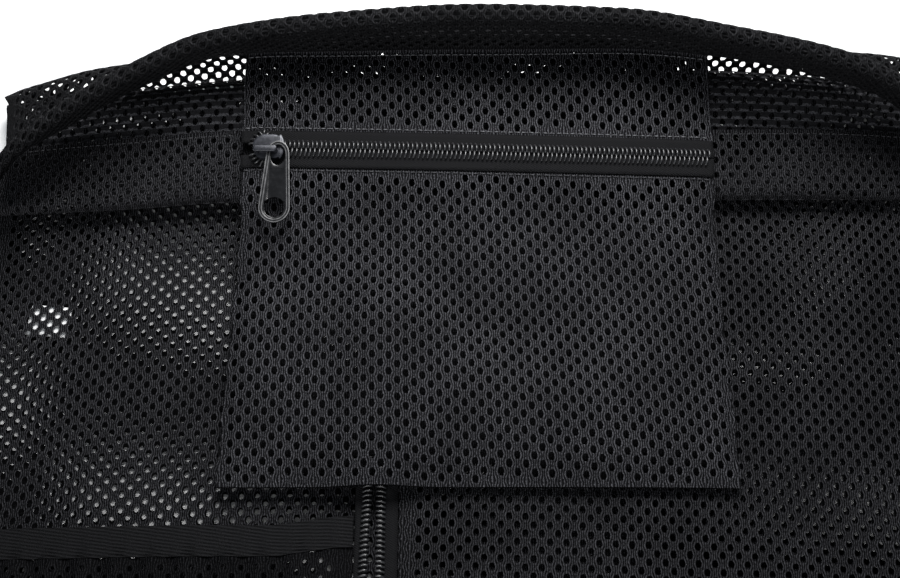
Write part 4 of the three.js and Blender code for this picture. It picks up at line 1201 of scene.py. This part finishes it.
def makePullTab():
    form = pullForm
    x, top, thick = form["eyeX"], form["eyeY"] + form["eyeHalf"][1] + form["rimTop"], form["thickness"]
    endY = form["tipY"] + form["endHalf"]
    deselectAll()
    bpy.ops.mesh.primitive_circle_add(vertices=64, radius=form["endHalf"] * mm, fill_type="NGON",
                                      location=Vector((x, endY, 0)) * mm)
    piece = bpy.context.active_object
    piece.name = piece.data.name = "pullTab"
    bpy.ops.object.transform_apply(location=True, rotation=False, scale=False)
    clearSelection(piece)
    for vertex in piece.data.vertices:  # upper half of the round goes up to the eye and narrows
        vertex.select = vertex.co.y > (endY + 0.01) * mm
    bpy.ops.object.mode_set(mode="EDIT")
    bpy.ops.mesh.select_mode(type="VERT")
    middle = Vector((x, endY, 0)) * mm
    narrow = (form["neckHalf"] / form["endHalf"], form["topRound"], 1)
    bpy.ops.transform.resize(value=narrow, center_override=middle)
    bpy.ops.transform.translate(value=(0, (top - endY - form["topRound"] * form["endHalf"]) * mm, 0))
    bpy.ops.mesh.select_all(action="SELECT")
    bpy.ops.mesh.extrude_region_move(TRANSFORM_OT_translate={"value": (0, 0, thick * mm)})
    bpy.ops.mesh.select_all(action="SELECT")
    bpy.ops.mesh.normals_make_consistent(inside=False)
    piece.data.materials.append(blackLacquer)
    # second slot: painted highlight along the pull's rims
    piece.data.materials.append(paintedEdgeHighlight)
    selectFaces(piece, lambda face: face.normal.z > 0.9)
    # rings given slot 1 carry the painted edge highlight round the outer rim and the inner step
    for highlightSlot, width, depth in form["rims"]:
        piece.active_material_index = highlightSlot
        bpy.ops.object.material_slot_assign()
        bpy.ops.mesh.inset(thickness=width * mm, depth=depth * mm)
    piece.active_material_index = 0
    bpy.ops.object.material_slot_assign()
    bpy.ops.object.mode_set(mode="OBJECT")
    deep, half = form["cutDepth"], form["holeHalf"]
    cutAway(piece, ovalDisc("eyeCut", form["eyeHalf"], (x, form["eyeY"]), deep))
    cutAway(piece, addBlock("holeCut", (2 * half, form["holeTop"] - endY + 0.02, deep),
                            (x, (form["holeTop"] + endY) / 2, 0)))
    cutAway(piece, ovalDisc("holeRound", (half, half), (x, endY), deep))
    panel = addBlock("panelCut", form["panel"], (x, form["panelY"], thick + form["panelLift"]))
    roundCorners(panel, form["panelCorner"], 4)
    cutAway(piece, panel)
    softenEdges(piece, form["softEdge"])
    finishHard(piece, pullPlace, "pull", "pull_tab", blackLacquer)


makePocketSlider()
makePullTab()
hiddenSlider = sliderPlate("hiddenSlider", plateFoot, plateTop - sliderForm["crown"])
hiddenX, hiddenY = frontZip["x"], frontZip["sliderY"]
hiddenZ = float(frontHeight(np.array([hiddenX]), np.array([hiddenY]))[0]) + panelLift
hiddenPlace = (Matrix.Translation(Vector((hiddenX, hiddenY, hiddenZ)) * mm)
               @ Matrix.Rotation(math.pi / 2, 4, "Z"))
finishHard(hiddenSlider, hiddenPlace, "bag", "front_slider", darkMetal)
print("slider and pull made")


# floor, light and camera

studio = {"floor": 40, "floorZ": -0.0002, "floorTone": 0.86, "floorGlow": 0.02, "world": 0.3,
          "worldTone": (0.86, 0.93, 1.0, 1)}
keyLight = {"place": (0.03, 0.345, 0.39), "target": (0, 0.155, 0.04), "size": 0.26, "power": 1.22,
            "spread": 90}
fillLight = {"place": (-0.3, -1.6, 0.6), "target": (0, 0.12, 0.03), "size": 1.0, "power": 20, "spread": 180}
deselectAll()
bpy.ops.mesh.primitive_plane_add(size=studio["floor"], location=(0, 0, studio["floorZ"]))
floor = bpy.context.active_object
floor.name = "floor"
floorPaint, _, floorShader = newMaterial("pale floor", 0.9, 0.1)
floorShader.inputs["Base Color"].default_value = (studio["floorTone"],) * 3 + (1,)
floorShader.inputs["Emission Color"].default_value = (1, 1, 1, 1)
floorShader.inputs["Emission Strength"].default_value = studio["floorGlow"]  # a faint even glow
floor.data.materials.append(floorPaint)

world = bpy.data.worlds.new("studio")
world.use_nodes = True
world.node_tree.nodes["Background"].inputs["Color"].default_value = studio["worldTone"]
world.node_tree.nodes["Background"].inputs["Strength"].default_value = studio["world"]
bpy.context.scene.world = world


def addSoftLight(name, form):
    lamp = bpy.data.lights.new(name, "AREA")
    lamp.shape, lamp.size, lamp.energy = "DISK", form["size"], form["power"]
    lamp.spread = math.radians(form["spread"])
    light = bpy.data.objects.new(name, lamp)
    light.location = form["place"]
    ahead = Vector(form["target"]) - Vector(form["place"])
    light.rotation_euler = ahead.to_track_quat("-Z", "Y").to_euler()
    bpy.context.scene.collection.objects.link(light)


addSoftLight("keyLight", keyLight)
addSoftLight("fillLight", fillLight)

view = {"target": (-9, 83, 20), "distance": 380, "elevation": 69.5, "width": 42, "sensor": 36}
camera = bpy.data.objects.new("camera", bpy.data.cameras.new("camera"))
tilt = math.radians(view["elevation"])
away = view["distance"] * Vector((0, -math.cos(tilt), math.sin(tilt)))
camera.location = (Vector(view["target"]) + away) * mm
camera.rotation_euler = (math.pi / 2 - tilt, 0, 0)
camera.data.sensor_width = view["sensor"]
camera.data.lens = view["sensor"] / 2 / math.tan(math.radians(view["width"] / 2))
camera.data.clip_start = 0.01
bpy.context.scene.collection.objects.link(camera)
bpy.context.scene.camera = camera
bpy.context.scene.view_settings.view_transform = "Standard"
bpy.context.scene.view_settings.look = "None"
print("studio set")
